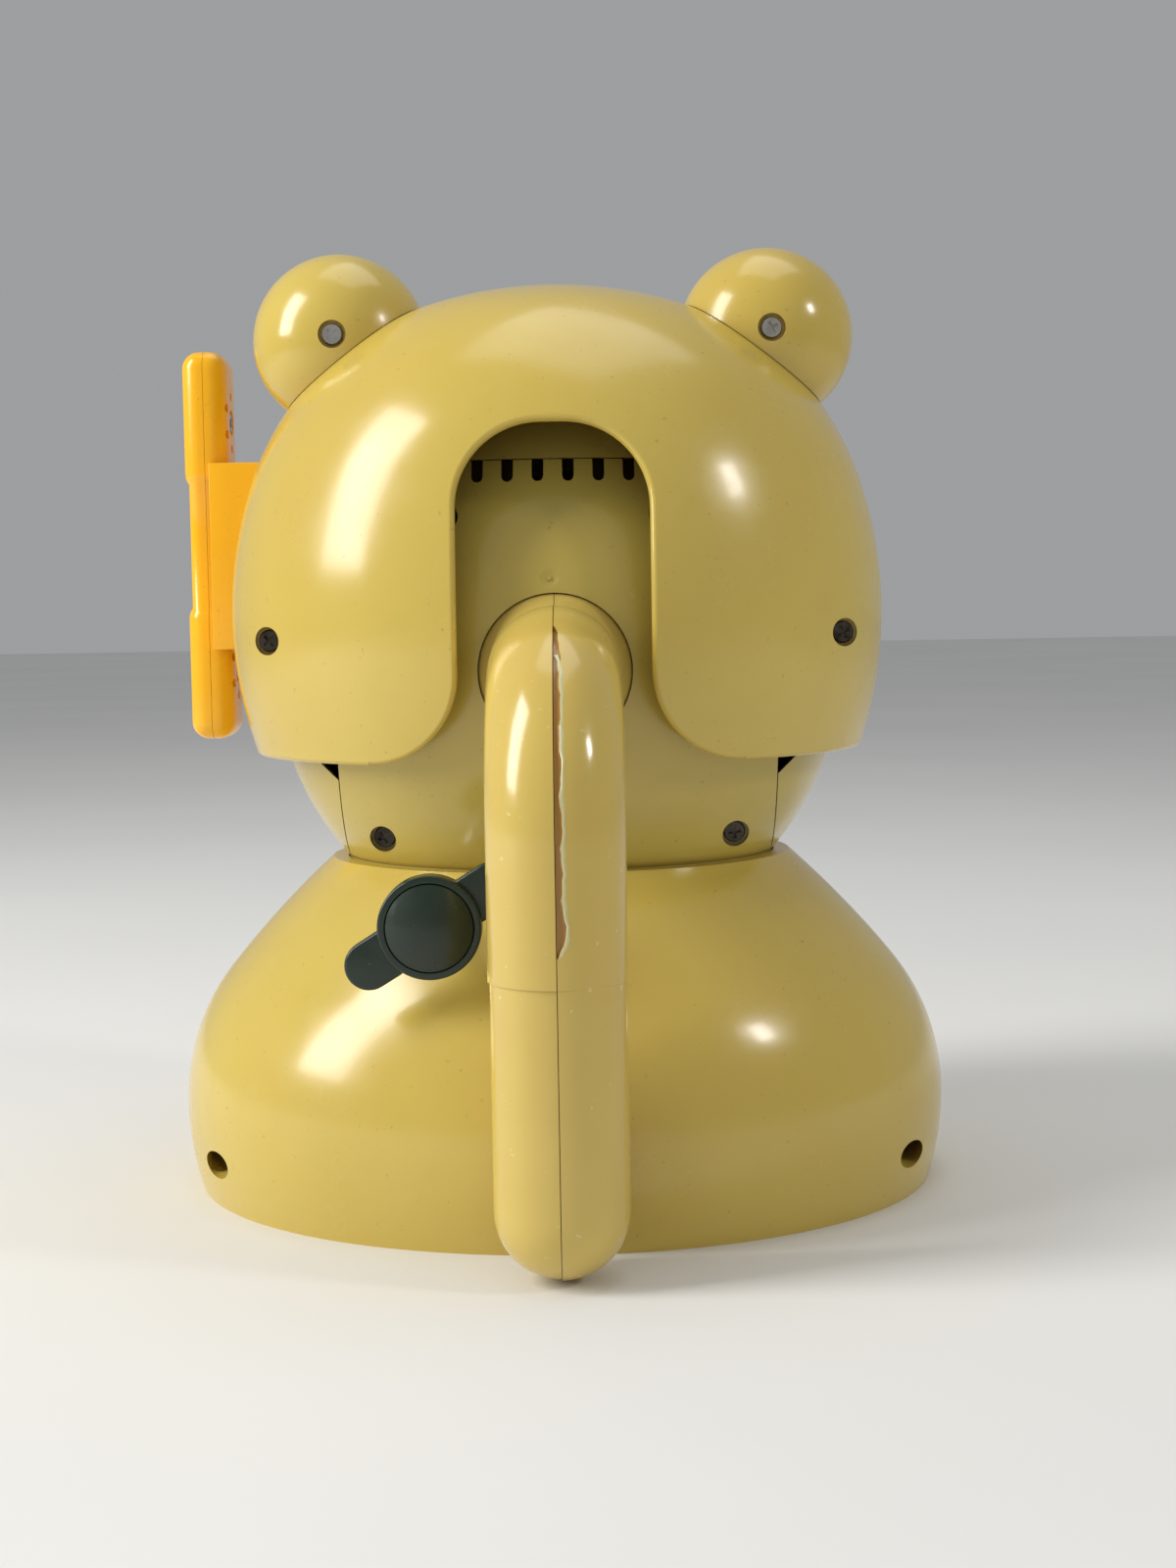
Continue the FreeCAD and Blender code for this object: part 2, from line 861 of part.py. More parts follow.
def bell_hammer():
    pivot = hammer_pivot()
    pin_length = cross_pin_length()
    pin = Part.makeCylinder(hammer_pin_radius, pin_length, pivot - x_axis * pin_length / 2, x_axis)
    hub_start = pivot - x_axis * hammer_hub_width / 2
    hub = Part.makeCylinder(hammer_hub_radius, hammer_hub_width, hub_start, x_axis)
    arm = Part.makeCylinder(hammer_arm_radius, hammer_arm_length, pivot, z_axis)
    head = Part.makeSphere(hammer_head_radius, pivot + z_axis * hammer_arm_length)
    tail_low = pivot + Vector(-hammer_tail_width / 2, -hammer_tail_length, -hammer_tail_thickness)
    tail = box(tail_low, pivot + Vector(hammer_tail_width / 2, 0, 0))
    return hub.fuse([pin, arm, head, tail]).removeSplitter()


def ball_cap(mouth_centre, axis, mouth_radius, height):
    """Cap of a ball that stands on its mouth circle and points along the axis."""
    sphere_radius = (mouth_radius**2 + height**2) / (2 * height)
    drop = sphere_radius - height
    foot_angle = math.degrees(math.asin(drop / sphere_radius))
    return Part.makeSphere(sphere_radius, mouth_centre - axis * drop, axis, foot_angle, 90, 360)


def bell_gong():
    mouth = Vector(0, -gong_depth, gong_mouth_height)
    outer = ball_cap(mouth, z_axis, gong_inner_radius + gong_wall, gong_height)
    gong = outer.cut(ball_cap(mouth, z_axis, gong_inner_radius, gong_height - gong_wall))
    return gong.cut(clear_hole(mouth, z_axis, reach))


def gong_screw():
    seat = (0, -gong_depth, gong_mouth_height + gong_height - gong_wall - screw_head_height)
    return screw(seat, z_axis, short_screw_length)


# Winding key and musical movement


def key_point(depth):
    return Vector(key_x, -depth, key_height)


def key_hole():
    return Part.makeCylinder(key_arbor_radius + key_wall_gap, reach, key_point(reach), y_axis)


def winding_key():
    """Domed disc with a stepped rim over two flat rounded wings."""
    outward = y_axis * -1
    wing_back = key_point(key_wing_depth)
    rim_top = key_wing_thickness + key_rim_height
    disc = Part.makeCylinder(key_disc_radius, rim_top, wing_back, outward)
    angle = math.radians(key_wing_angle)
    direction = Vector(math.cos(angle), 0, math.sin(angle))
    across = Vector(-math.sin(angle), 0, math.cos(angle)) * key_wing_radius
    ends = [wing_back + direction * (side * key_wing_reach) for side in (-1, 1)]
    wings = [Part.makeCylinder(key_wing_radius, key_wing_thickness, end, outward) for end in ends]
    sides = [ends[0] - across, ends[1] - across, ends[1] + across, ends[0] + across]
    blade = Part.Face(Part.makePolygon(sides + sides[:1])).extrude(outward * key_wing_thickness)
    dome = ball_cap(wing_back + outward * rim_top, outward, key_dome_radius, key_dome_height)
    key = blade.fuse(wings + [disc]).removeSplitter().fuse(dome)
    socket = Part.makeCylinder(key_arbor_radius + thread_gap, key_arbor_seat, wing_back, outward)
    return key.cut(socket)


def key_arbor():
    start = key_wing_depth + key_arbor_seat
    end = plate_depth - plate_span - 2 * plate_thickness
    return Part.makeCylinder(key_arbor_radius, start - end, key_point(start), y_axis)


def gear_distance(first_teeth, second_teeth):
    return gear_module * (first_teeth + second_teeth) / 2


def stepped_from(place, direction, distance):
    angle = math.radians(direction)
    return place[0] + distance * math.cos(angle), place[1] + distance * math.sin(angle)


def barrel_place():
    return key_x, key_height


def drum_place():
    return stepped_from(barrel_place(), drum_direction, gear_distance(barrel_teeth, drum_teeth))


def governor_place():
    return stepped_from(drum_place(), governor_direction, gear_distance(drum_teeth, governor_teeth))


def follower_phase(leader_teeth, leader_phase, follower_teeth, direction):
    """Turn of the follower, in degrees, that puts one of its gaps on the leader's tooth."""
    offset = leader_phase - direction
    return direction + 180 + 180 / follower_teeth - offset * leader_teeth / follower_teeth


def drum_phase():
    return follower_phase(barrel_teeth, drum_direction, drum_teeth, drum_direction)


def governor_phase():
    return follower_phase(drum_teeth, drum_phase(), governor_teeth, governor_direction)


def gear_back():
    return -plate_depth + plate_thickness + plate_span - gear_front_gap - gear_thickness


def gear(place, teeth, phase):
    pitch_radius = gear_module * teeth / 2
    root = pitch_radius - gear_module
    tip = pitch_radius + tooth_rise * gear_module
    step = 2 * math.pi / teeth
    flank = [
        (root, -tooth_root_share),
        (tip, -tooth_tip_share),
        (tip, tooth_tip_share),
        (root, tooth_root_share),
    ]
    corners = []
    for tooth in range(teeth):
        for radius, share in flank:
            angle = math.radians(phase) + (tooth + share) * step
            x = place[0] + radius * math.cos(angle)
            corners.append(Vector(x, gear_back(), place[1] + radius * math.sin(angle)))
    return Part.Face(Part.makePolygon(corners + corners[:1])).extrude(y_axis * gear_thickness)


def plate_front_face():
    return -plate_depth + 2 * plate_thickness + plate_span


def train_shaft(place, radius):
    length = plate_span + 2 * plate_thickness
    return rod((place[0], -plate_depth, place[1]), y_axis, radius, length)


def movement_plate(back):
    plate = box((plate_left, back, plate_bottom), (plate_right, back + plate_thickness, plate_shoulder))
    plate = plate.fuse(rod((key_x, back, key_height), y_axis, plate_head_radius, plate_thickness))
    bearings = [
        (barrel_place(), key_arbor_radius),
        (drum_place(), drum_shaft_radius),
        (governor_place(), governor_shaft_radius),
    ]
    holes = []
    for place, radius in bearings:
        holes.append(rod((place[0], -reach, place[1]), y_axis, radius + running_gap, 2 * reach))
    return plate.cut(holes).removeSplitter()


def movement_post_holes():
    places = movement_post_places
    return [clear_hole((x, -plate_depth, z), y_axis * -1, screw_length) for x, z in places]


def movement_posts():
    length = reach - plate_depth
    return [rod((x, -reach, z), y_axis, movement_post_radius, length) for x, z in movement_post_places]


def movement_back_plate():
    holes = [clear_hole((x, -reach, z), y_axis, reach) for x, z in movement_post_places]
    return movement_plate(-plate_depth).cut(holes)


def movement_front_plate():
    return movement_plate(-plate_depth + plate_thickness + plate_span)


def movement_screws():
    seats = [(x, -plate_depth + plate_thickness, z) for x, z in movement_post_places]
    return Part.makeCompound([screw(seat, y_axis * -1, short_screw_length) for seat in seats])


def movement_pillars():
    starts = [(x, -plate_depth + plate_thickness, z) for x, z in pillar_places]
    return Part.makeCompound([rod(start, y_axis, pillar_radius, plate_span) for start in starts])


def spring_barrel():
    x, z = barrel_place()
    start = gear_back() - barrel_length
    can = rod((x, start, z), y_axis, barrel_radius, barrel_length)
    can = can.cut(rod((x, start, z), y_axis, barrel_radius - barrel_wall, barrel_length - barrel_wall))
    barrel = can.fuse(gear(barrel_place(), barrel_teeth, drum_direction))
    return barrel.cut(Part.makeCylinder(key_arbor_radius + running_gap, reach, key_point(reach), y_axis))


def spiral_edges(centre, start_radius):
    """Half-turn arcs that grow outwards by half a pitch each."""
    edges = []
    x = centre.x + start_radius
    side = 1
    for half_turn in range(2 * mainspring_turns):
        span = 2 * start_radius + (half_turn + 0.5) * mainspring_pitch
        end_x = x - side * span
        start = Vector(x, centre.y, centre.z)
        middle = Vector((x + end_x) / 2, centre.y, centre.z + side * span / 2)
        edges.append(Part.Arc(start, middle, Vector(end_x, centre.y, centre.z)).toShape())
        x = end_x
        side = -side
    return edges


def mainspring():
    margin = (barrel_length - barrel_wall - mainspring_width) / 2
    centre = Vector(key_x, gear_back() - barrel_length + margin, key_height)
    inner = spiral_edges(centre, mainspring_inner_radius)
    outer = spiral_edges(centre, mainspring_inner_radius + mainspring_thickness)
    ends = [
        Part.makeLine(inner[0].Vertexes[0].Point, outer[0].Vertexes[0].Point),
        Part.makeLine(inner[-1].Vertexes[-1].Point, outer[-1].Vertexes[-1].Point),
    ]
    strip = Part.Face(Part.Wire(Part.__sortEdges__(inner + outer + ends)))
    return strip.extrude(y_axis * mainspring_width)


def melody_drum():
    place = drum_place()
    barrel = rod((place[0], gear_back() - drum_length, place[1]), y_axis, drum_radius, drum_length)
    return barrel.fuse([gear(place, drum_teeth, drum_phase()), train_shaft(place, drum_shaft_radius)])


def melody_comb():
    place = drum_place()
    tip = place[0] - drum_radius - comb_tip_gap
    back = gear_back() - drum_length / 2 - comb_width / 2
    low = (tip - comb_length, back, place[1] - comb_thickness / 2)
    comb = box(low, (tip, back + comb_width, place[1] + comb_thickness / 2))
    pitch = comb_width / comb_teeth
    slit_start = tip - comb_length + comb_foot_length + comb_root_length
    for slit in range(1, comb_teeth):
        middle = back + slit * pitch
        comb = comb.cut(box((slit_start, middle - comb_slit / 2, 0), (tip, middle + comb_slit / 2, reach)))
    foot_low = (low[0], -plate_depth + plate_thickness, low[2] - comb_foot_height)
    foot_high = (low[0] + comb_foot_length, foot_low[1] + plate_span, low[2] + comb_thickness)
    return comb.fuse(box(foot_low, foot_high)).removeSplitter()


def governor():
    place = governor_place()
    shaft = train_shaft(place, governor_shaft_radius)
    fly_start = plate_front_face()
    tail = rod((place[0], fly_start, place[1]), y_axis, governor_shaft_radius, fly_gap + fly_width)
    low = (place[0] - fly_radius, fly_start + fly_gap, place[1] - fly_thickness / 2)
    high = (place[0] + fly_radius, fly_start + fly_gap + fly_width, place[1] + fly_thickness / 2)
    return gear(place, governor_teeth, governor_phase()).fuse([shaft, tail, box(low, high)])


# Finger dial, drawn about its own axis and then set on the front of the body


def set_on_dial(shape):
    turned = shape.copy()
    turned.rotate(Vector(0, 0, 0), x_axis, dial_tilt - 90)
    turned.translate(Vector(0, dial_face_depth, dial_face_height))
    return turned


def dial_disc(radius, start, thickness):
    return rod((0, 0, start), z_axis, radius, thickness)


def wheel_start():
    return dial_plate_thickness + dial_wheel_gap


def wheel_top():
    return wheel_start() + dial_wheel_thickness


def dial_pad():
    pad = set_on_dial(dial_disc(dial_pad_radius, -dial_pad_length, dial_pad_length))
    return pad.cut(body_solid(body_wall))


def dial_pad_hollow():
    hollow = dial_disc(dial_pad_radius - dial_pad_wall, -reach, reach - dial_pad_wall)
    bore = dial_disc(dial_spindle_radius + running_gap, -reach, 2 * reach)
    inside = set_on_dial(hollow).common(above(base_plate_thickness + base_boss_height))
    return inside.fuse(set_on_dial(bore)).common(front_side())


def dial_number_plate():
    height = dial_plate_thickness + dial_rim_height
    plate = dial_disc(dial_plate_radius, 0, height)
    plate = plate.cut(dial_disc(dial_plate_radius - dial_rim_width, dial_plate_thickness, dial_rim_height))
    return set_on_dial(plate.cut(dial_disc(dial_spindle_radius + running_gap, 0, height)))


def dial_hole_angle(index):
    return dial_first_hole + index * dial_hole_step


def dial_finger_wheel():
    wheel = dial_disc(dial_wheel_radius, wheel_start(), dial_wheel_thickness)
    holes = []
    for index in range(dial_hole_count):
        angle = math.radians(dial_hole_angle(index))
        place = (dial_hole_circle * math.cos(angle), dial_hole_circle * math.sin(angle), 0)
        holes.append(rod(place, z_axis, dial_hole_radius, reach))
    holes.append(dial_disc(dial_spindle_radius + thread_gap, 0, reach))
    return set_on_dial(wheel.cut(holes))


def dial_centre_cap():
    sphere_radius = (dial_cap_radius**2 + dial_cap_height**2) / (2 * dial_cap_height)
    centre = Vector(0, 0, wheel_top() + dial_cap_height - sphere_radius)
    cap = Part.makeSphere(sphere_radius, centre)
    return set_on_dial(cap.common(dial_disc(dial_cap_radius, wheel_top(), dial_cap_height)))


def dial_spindle():
    spindle = dial_disc(dial_spindle_radius, -dial_spindle_reach, dial_spindle_reach + wheel_top())
    collar = dial_disc(dial_collar_radius, -dial_spindle_reach, dial_collar_height)
    return set_on_dial(spindle.fuse(collar))


def dial_finger_stop():
    """Hook that stands on the rim of the number plate and reaches in over the finger wheel."""
    rim_top = dial_plate_thickness + dial_rim_height
    hook_start = wheel_top() + dial_stop_gap
    half_width = dial_stop_width / 2
    post_inner = dial_plate_radius - dial_rim_width
    post = box((post_inner, -half_width, rim_top), (dial_plate_radius, half_width, hook_start))
    hook_low = (dial_stop_inner_radius, -half_width, hook_start)
    hook = box(hook_low, (dial_plate_radius, half_width, hook_start + dial_stop_thickness))
    tip = rod((dial_stop_inner_radius, 0, hook_start), z_axis, half_width, dial_stop_thickness)
    stop = post.fuse([hook, tip]).removeSplitter()
    stop.rotate(Vector(0, 0, 0), z_axis, dial_stop_angle)
    return set_on_dial(stop)


def dial_return_spring():
    start = -dial_spindle_reach + dial_collar_height + spring_wire_radius + seat_gap
    height = spring_turns * spring_pitch
    path = Part.makeHelix(spring_pitch, height, spring_radius)
    circle = Part.Wire(Part.makeCircle(spring_wire_radius, Vector(spring_radius, 0, 0), y_axis))
    coil = Part.Wire(path).makePipeShell([circle], True, True)
    coil.translate(Vector(0, 0, start))
    return set_on_dial(coil)


# Handset and its bracket


def lobe_heights():
    return [handset_top_height - lobe_half_height, handset_bottom_height + lobe_half_height]


def handset_split_x():
    return -handset_outer_x + handset_thickness / 2


def handset_lobe(height, inset):
    """Thick end of the handset: a slab with every edge rounded."""
    low_x = -handset_outer_x + inset
    high_x = -handset_outer_x + handset_thickness - inset
    half_depth = lobe_half_depth - inset
    half_height = lobe_half_height - inset
    low = (low_x, handset_y - half_depth, height - half_height)
    high = (high_x, handset_y + half_depth, height + half_height)
    slab = box(low, high)
    return slab.makeFillet(lobe_round - inset, slab.Edges)


def handset_grip(inset):
    low_x = -handset_outer_x + grip_outer_step
    low = (low_x + inset, handset_y - grip_half_width + inset, lobe_heights()[1])
    high = (low_x + grip_thickness - inset, handset_y + grip_half_width - inset, lobe_heights()[0])
    bar = box(low, high)
    long_edges = [edge for edge in bar.Edges if abs(edge.Length - (high[2] - low[2])) < tiny]
    return bar.makeFillet(grip_round - inset, long_edges)


def handset_solid(inset):
    lobes = [handset_lobe(height, inset) for height in lobe_heights()]
    return handset_grip(inset).fuse(lobes)


def handset_half(low_x, high_x):
    half = handset_solid(0).cut(handset_solid(handset_wall))
    for height in lobe_heights():
        boss_start = (-handset_outer_x + handset_boss_inset, handset_y, height)
        half = half.fuse(rod(boss_start, x_axis, boss_radius, handset_thickness - 2 * handset_boss_inset))
    return half.common(box((low_x, -reach, -reach), (high_x, reach, reach)))


def handset_screw_seat():
    return -handset_outer_x + handset_thickness - handset_recess_depth


def handset_screw_holes():
    holes = []
    for height in lobe_heights():
        seat = handset_screw_seat()
        holes.append(rod((seat, handset_y, height), x_axis, recess_radius, reach))
        holes.append(clear_hole((seat, handset_y, height), x_axis * -1, handset_screw_length))
    return holes


def handset_outer_half():
    return handset_half(-reach, handset_split_x()).cut(handset_screw_holes())


def sound_holes(height):
    holes = []
    for index in range(sound_hole_count):
        angle = 2 * math.pi * (index + 0.5) / sound_hole_count
        y = handset_y + sound_hole_circle * math.cos(angle)
        z = height + sound_hole_circle * math.sin(angle)
        holes.append(rod((handset_split_x(), y, z), x_axis, sound_hole_radius, handset_thickness))
    return holes


def handset_inner_half():
    half = handset_half(handset_split_x(), reach).cut(handset_screw_holes())
    for height in lobe_heights():
        half = half.cut(sound_holes(height))
    return half


def handset_screws():
    screws = []
    for height in lobe_heights():
        screws.append(screw((handset_screw_seat(), handset_y, height), x_axis * -1, handset_screw_length))
    return Part.makeCompound(screws)


def bracket_middle_height():
    return (bracket_top_height + bracket_bottom_height) / 2


def bracket_screw_heights():
    return [bracket_middle_height() + side * bracket_screw_half_spacing for side in (-1, 1)]


def bracket_screw_hole(height):
    return clear_hole((0, handset_y, height), x_axis * -1, handset_outer_x)


def handset_bracket():
    """Foot on the head shell with a tongue behind the handset's grip and two jaws beside the handset."""
    lobe_face = -handset_outer_x + handset_thickness + bracket_face_gap
    grip_face = -handset_outer_x + grip_outer_step + grip_thickness + bracket_face_gap
    jaw_inner = lobe_half_depth + bracket_jaw_gap
    jaw_outer = jaw_inner + bracket_jaw_thickness
    foot = box(
        (lobe_face, handset_y - jaw_outer, bracket_bottom_height),
        (0, handset_y + jaw_outer, bracket_top_height),
    )
    middle = bracket_middle_height()
    tongue = box(
        (grip_face, handset_y - jaw_inner, middle - bracket_tongue_half_height),
        (0, handset_y + jaw_inner, middle + bracket_tongue_half_height),
    )
    jaw_tip = grip_face - bracket_jaw_reach
    jaws = []
    for near, far in ((-jaw_outer, -jaw_inner), (jaw_inner, jaw_outer)):
        low = (jaw_tip, handset_y + near, bracket_bottom_height)
        jaws.append(box(low, (lobe_face, handset_y + far, bracket_top_height)))
    bracket = foot.fuse([tongue] + jaws).removeSplitter().cut(shell_solid(-seat_gap))
    return bracket.cut([bracket_screw_hole(height) for height in bracket_screw_heights()])


def bracket_screws():
    seats = [(-bracket_screw_seat, handset_y, height) for height in bracket_screw_heights()]
    return Part.makeCompound([screw(seat, x_axis * -1, screw_length) for seat in seats])


# Face


def ellipsoid(half_sizes, centre):
    matrix = FreeCAD.Matrix()
    matrix.A11, matrix.A22, matrix.A33 = half_sizes
    solid = Part.makeSphere(1.0).transformGeometry(matrix)
    solid.translate(Vector(*centre))
    return solid


def muzzle_solid(inset):
    half_depth = muzzle_reach - muzzle_centre_depth
    sizes = (muzzle_half_width - inset, half_depth - inset, muzzle_half_height - inset)
    return ellipsoid(sizes, (0, muzzle_centre_depth, muzzle_height))


def muzzle_peg(side, margin):
    depth = shell_depth_at(muzzle_peg_x, muzzle_height) - muzzle_peg_length
    return rod((side * muzzle_peg_x, depth, muzzle_height), y_axis, muzzle_peg_radius + margin, reach)


def muzzle():
    outer = muzzle_solid(0)
    shell = outer.cut(muzzle_solid(muzzle_wall)).cut(shell_solid(-seat_gap))
    pegs = [muzzle_peg(side, 0).common(outer.fuse(shell_solid(0))) for side in (-1, 1)]
    return shell.fuse(pegs)


def nose():
    solid = ellipsoid((nose_half_width, nose_half_depth, nose_half_height), (0, nose_depth, nose_height))
    return solid.cut(muzzle_solid(-seat_gap))


def eye_peg(side, margin):
    start = (side * eye_x, shell_depth_at(eye_x, eye_height) - eye_peg_length, eye_height)
    return rod(start, y_axis, eye_peg_radius + margin, eye_peg_length)


def eye(side):
    depth = shell_depth_at(eye_x, eye_height) - eye_rise
    ball = Part.makeSphere(eye_radius, Vector(side * eye_x, depth, eye_height))
    return ball.cut(shell_solid(-seat_gap)).fuse(eye_peg(side, 0))


nodes = {
    "body_back": body_back,
    "body_front": body_front,
    "body_screws": body_screws,
    "base_plate": base_plate,
    "base_screws": base_screws,
    "inner_head_front": inner_head_front,
    "inner_head_panel": inner_head_panel,
    "panel_screws": panel_screws,
    "head_shell_back": head_shell_back,
    "head_shell_front": head_shell_front,
    "shell_screws": shell_screws,
    "ear_left_back": lambda: ear_half(-1, back_side()),
    "ear_left_front": lambda: ear_half(-1, front_side()),
    "ear_right_back": lambda: ear_half(1, back_side()),
    "ear_right_front": lambda: ear_half(1, front_side()),
    "ear_screws": ear_screws,
    "lever_half_left": lever_half_left,
    "lever_half_right": lever_half_right,
    "lever_axle": lever_axle,
    "bell_hammer": bell_hammer,
    "bell_gong": bell_gong,
    "gong_screw": gong_screw,
    "winding_key": winding_key,
    "key_arbor": key_arbor,
    "movement_back_plate": movement_back_plate,
    "movement_front_plate": movement_front_plate,
    "movement_pillars": movement_pillars,
    "movement_screws": movement_screws,
    "spring_barrel": spring_barrel,
    "mainspring": mainspring,
    "melody_drum": melody_drum,
    "melody_comb": melody_comb,
    "governor": governor,
    "dial_number_plate": dial_number_plate,
    "dial_finger_wheel": dial_finger_wheel,
    "dial_centre_cap": dial_centre_cap,
    "dial_spindle": dial_spindle,
    "dial_finger_stop": dial_finger_stop,
    "dial_return_spring": dial_return_spring,
    "handset_outer_half": handset_outer_half,
    "handset_inner_half": handset_inner_half,
    "handset_screws": handset_screws,
    "handset_bracket": handset_bracket,
    "bracket_screws": bracket_screws,
    "muzzle": muzzle,
    "nose": nose,
    "eye_left": lambda: eye(-1),
    "eye_right": lambda: eye(1),
}

os.makedirs("parts", exist_ok=True)
for name, make in nodes.items():
    shape = make()
    shape.exportStep(f"parts/{name}.step")
    print(name, len(shape.Solids), round(shape.Volume, 1), shape.isValid())
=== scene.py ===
import json
import math
import bmesh
import bpy
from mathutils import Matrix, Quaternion, Vector


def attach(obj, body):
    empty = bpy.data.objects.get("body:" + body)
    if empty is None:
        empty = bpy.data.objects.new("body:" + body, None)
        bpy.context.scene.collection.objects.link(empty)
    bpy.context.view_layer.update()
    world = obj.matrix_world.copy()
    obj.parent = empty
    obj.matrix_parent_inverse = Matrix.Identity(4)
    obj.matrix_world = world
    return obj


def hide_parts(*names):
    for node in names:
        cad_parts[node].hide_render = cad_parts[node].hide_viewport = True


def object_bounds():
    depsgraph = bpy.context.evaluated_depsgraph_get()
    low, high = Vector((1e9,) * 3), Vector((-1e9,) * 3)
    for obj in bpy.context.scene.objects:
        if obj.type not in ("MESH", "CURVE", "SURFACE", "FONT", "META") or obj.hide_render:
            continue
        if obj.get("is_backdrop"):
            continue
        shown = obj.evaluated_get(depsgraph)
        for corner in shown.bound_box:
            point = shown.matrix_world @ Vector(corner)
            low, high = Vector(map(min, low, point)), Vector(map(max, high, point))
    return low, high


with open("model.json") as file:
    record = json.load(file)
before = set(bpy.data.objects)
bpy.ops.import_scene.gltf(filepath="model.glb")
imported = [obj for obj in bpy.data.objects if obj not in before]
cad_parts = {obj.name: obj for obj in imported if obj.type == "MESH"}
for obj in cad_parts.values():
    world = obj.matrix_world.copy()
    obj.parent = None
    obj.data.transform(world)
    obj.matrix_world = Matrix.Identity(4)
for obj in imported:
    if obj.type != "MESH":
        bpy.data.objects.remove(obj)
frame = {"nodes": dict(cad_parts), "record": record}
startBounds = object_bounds()
mm = 0.001
far = 300.0
print("frame loaded")

# small mesh tools, all in millimetres


def tidyMesh(mesh):
    edit = bmesh.new()
    edit.from_mesh(mesh)
    bmesh.ops.remove_doubles(edit, verts=edit.verts, dist=1e-7)
    bmesh.ops.dissolve_degenerate(edit, edges=edit.edges, dist=1e-7)
    if edit.faces:
        stray = [vertex for vertex in edit.verts if not vertex.link_faces]
        bmesh.ops.delete(edit, geom=stray, context="VERTS")
        loose = [edge for edge in edit.edges if not edge.link_faces]
        bmesh.ops.delete(edit, geom=loose, context="EDGES")
        holes = [edge for edge in edit.edges if edge.is_boundary]
        bmesh.ops.holes_fill(edit, edges=holes, sides=6)
    bmesh.ops.recalc_face_normals(edit, faces=edit.faces)
    edit.to_mesh(mesh)
    edit.free()


def placed(name, data):
    obj = bpy.data.objects.new(name, data)
    bpy.context.scene.collection.objects.link(obj)
    return obj


def newObject(name, points, faces):
    mesh = bpy.data.meshes.new(name)
    mesh.from_pydata([Vector(point) * mm for point in points], [], faces)
    tidyMesh(mesh)
    return placed(name, mesh)


def bake(obj):
    depsgraph = bpy.context.evaluated_depsgraph_get()
    mesh = bpy.data.meshes.new_from_object(obj.evaluated_get(depsgraph))
    obj.modifiers.clear()
    obj.data = mesh
    return obj


def combine(obj, tools, operation):
    for tool in tools:
        modifier = obj.modifiers.new("combine", "BOOLEAN")
        modifier.operation = operation
        modifier.solver = "EXACT"
        modifier.object = tool
    bake(obj)
    for tool in tools:
        bpy.data.objects.remove(tool)
    tidyMesh(obj.data)
    return obj


def cut(obj, *tools):
    return combine(obj, tools, "DIFFERENCE")


def keep(obj, tool):
    return combine(obj, [tool], "INTERSECT")


def add(obj, *tools):
    return combine(obj, tools, "UNION")


def join(name, parts):
    edit = bmesh.new()
    for part in parts:
        edit.from_mesh(part.data)
    mesh = bpy.data.meshes.new(name)
    edit.to_mesh(mesh)
    edit.free()
    for part in parts:
        bpy.data.objects.remove(part)
    return placed(name, mesh)


def bevel(obj, width, segments=3, angle=40):
    modifier = obj.modifiers.new("bevel", "BEVEL")
    modifier.width = width * mm
    modifier.segments = segments
    modifier.limit_method = "ANGLE"
    modifier.angle_limit = math.radians(angle)
    return bake(obj)


def arc(centre, radius, start, end, steps):
    angles = [math.radians(start + (end - start) * step / steps) for step in range(steps + 1)]
    return [(centre[0] + radius * math.cos(angle), centre[1] + radius * math.sin(angle)) for angle in angles]


def lathe(name, profile, start=0.0, sweep=360.0, share=1.0, steps=160):
    closed = sweep >= 360
    rings = steps if closed else steps + 1
    size = len(profile)
    points = []
    for ring in range(rings):
        angle = math.radians(start + sweep * ring / steps)
        points += [(r * math.cos(angle), share * r * math.sin(angle), z) for r, z in profile]
    faces = []
    for ring in range(steps):
        here = ring * size
        there = (ring + 1) % rings * size
        for point in range(size):
            after = (point + 1) % size
            faces.append((here + point, there + point, there + after, here + after))
    if not closed:
        faces.append(tuple(range(size)))
        faces.append(tuple(range(steps * size, rings * size)))
    return newObject(name, points, faces)


def skin(name, rings):
    size = len(rings[0])
    points = [point for ring in rings for point in ring]
    faces = []
    for index in range(len(rings) - 1):
        here, there = index * size, (index + 1) * size
        faces += [(here + k, there + k, there + (k + 1) % size, here + (k + 1) % size) for k in range(size)]
    faces += [tuple(range(size)), tuple(range(len(points) - size, len(points)))]
    return newObject(name, points, faces)


def prism(name, line, low, high):
    return skin(name, [[(x, y, z) for x, z in line] for y in (low, high)])


def reshape(obj, rule):
    for vertex in obj.data.vertices:
        vertex.co = rule(vertex.co.copy())
    tidyMesh(obj.data)
    return obj


def rod(start, end, radius, steps=48):
    axis = Vector(end) - Vector(start)
    turn = axis.to_track_quat("Z", "Y")
    obj = lathe("rod", [(0, 0), (radius, 0), (radius, axis.length), (0, axis.length)], steps=steps)
    return reshape(obj, lambda spot: turn @ spot + Vector(start) * mm)


def block(low, high):
    points = [(x, y, z) for x in (low[0], high[0]) for y in (low[1], high[1]) for z in (low[2], high[2])]
    faces = [(0, 1, 3, 2), (4, 6, 7, 5), (0, 4, 5, 1), (2, 3, 7, 6), (0, 2, 6, 4), (1, 5, 7, 3)]
    return newObject("block", points, faces)


def halfSpace(axis, side, start):
    low = [-far, -far, 0]
    high = [far, far, far]
    if side > 0:
        low[axis] = start
    else:
        high[axis] = start
    return block(low, high)


def capArc(radius, height, base):
    sphere = (radius**2 + height**2) / (2 * height)
    rise = math.degrees(math.asin((sphere - height) / sphere))
    return arc((0, base + height - sphere), sphere, rise, 90, 12)


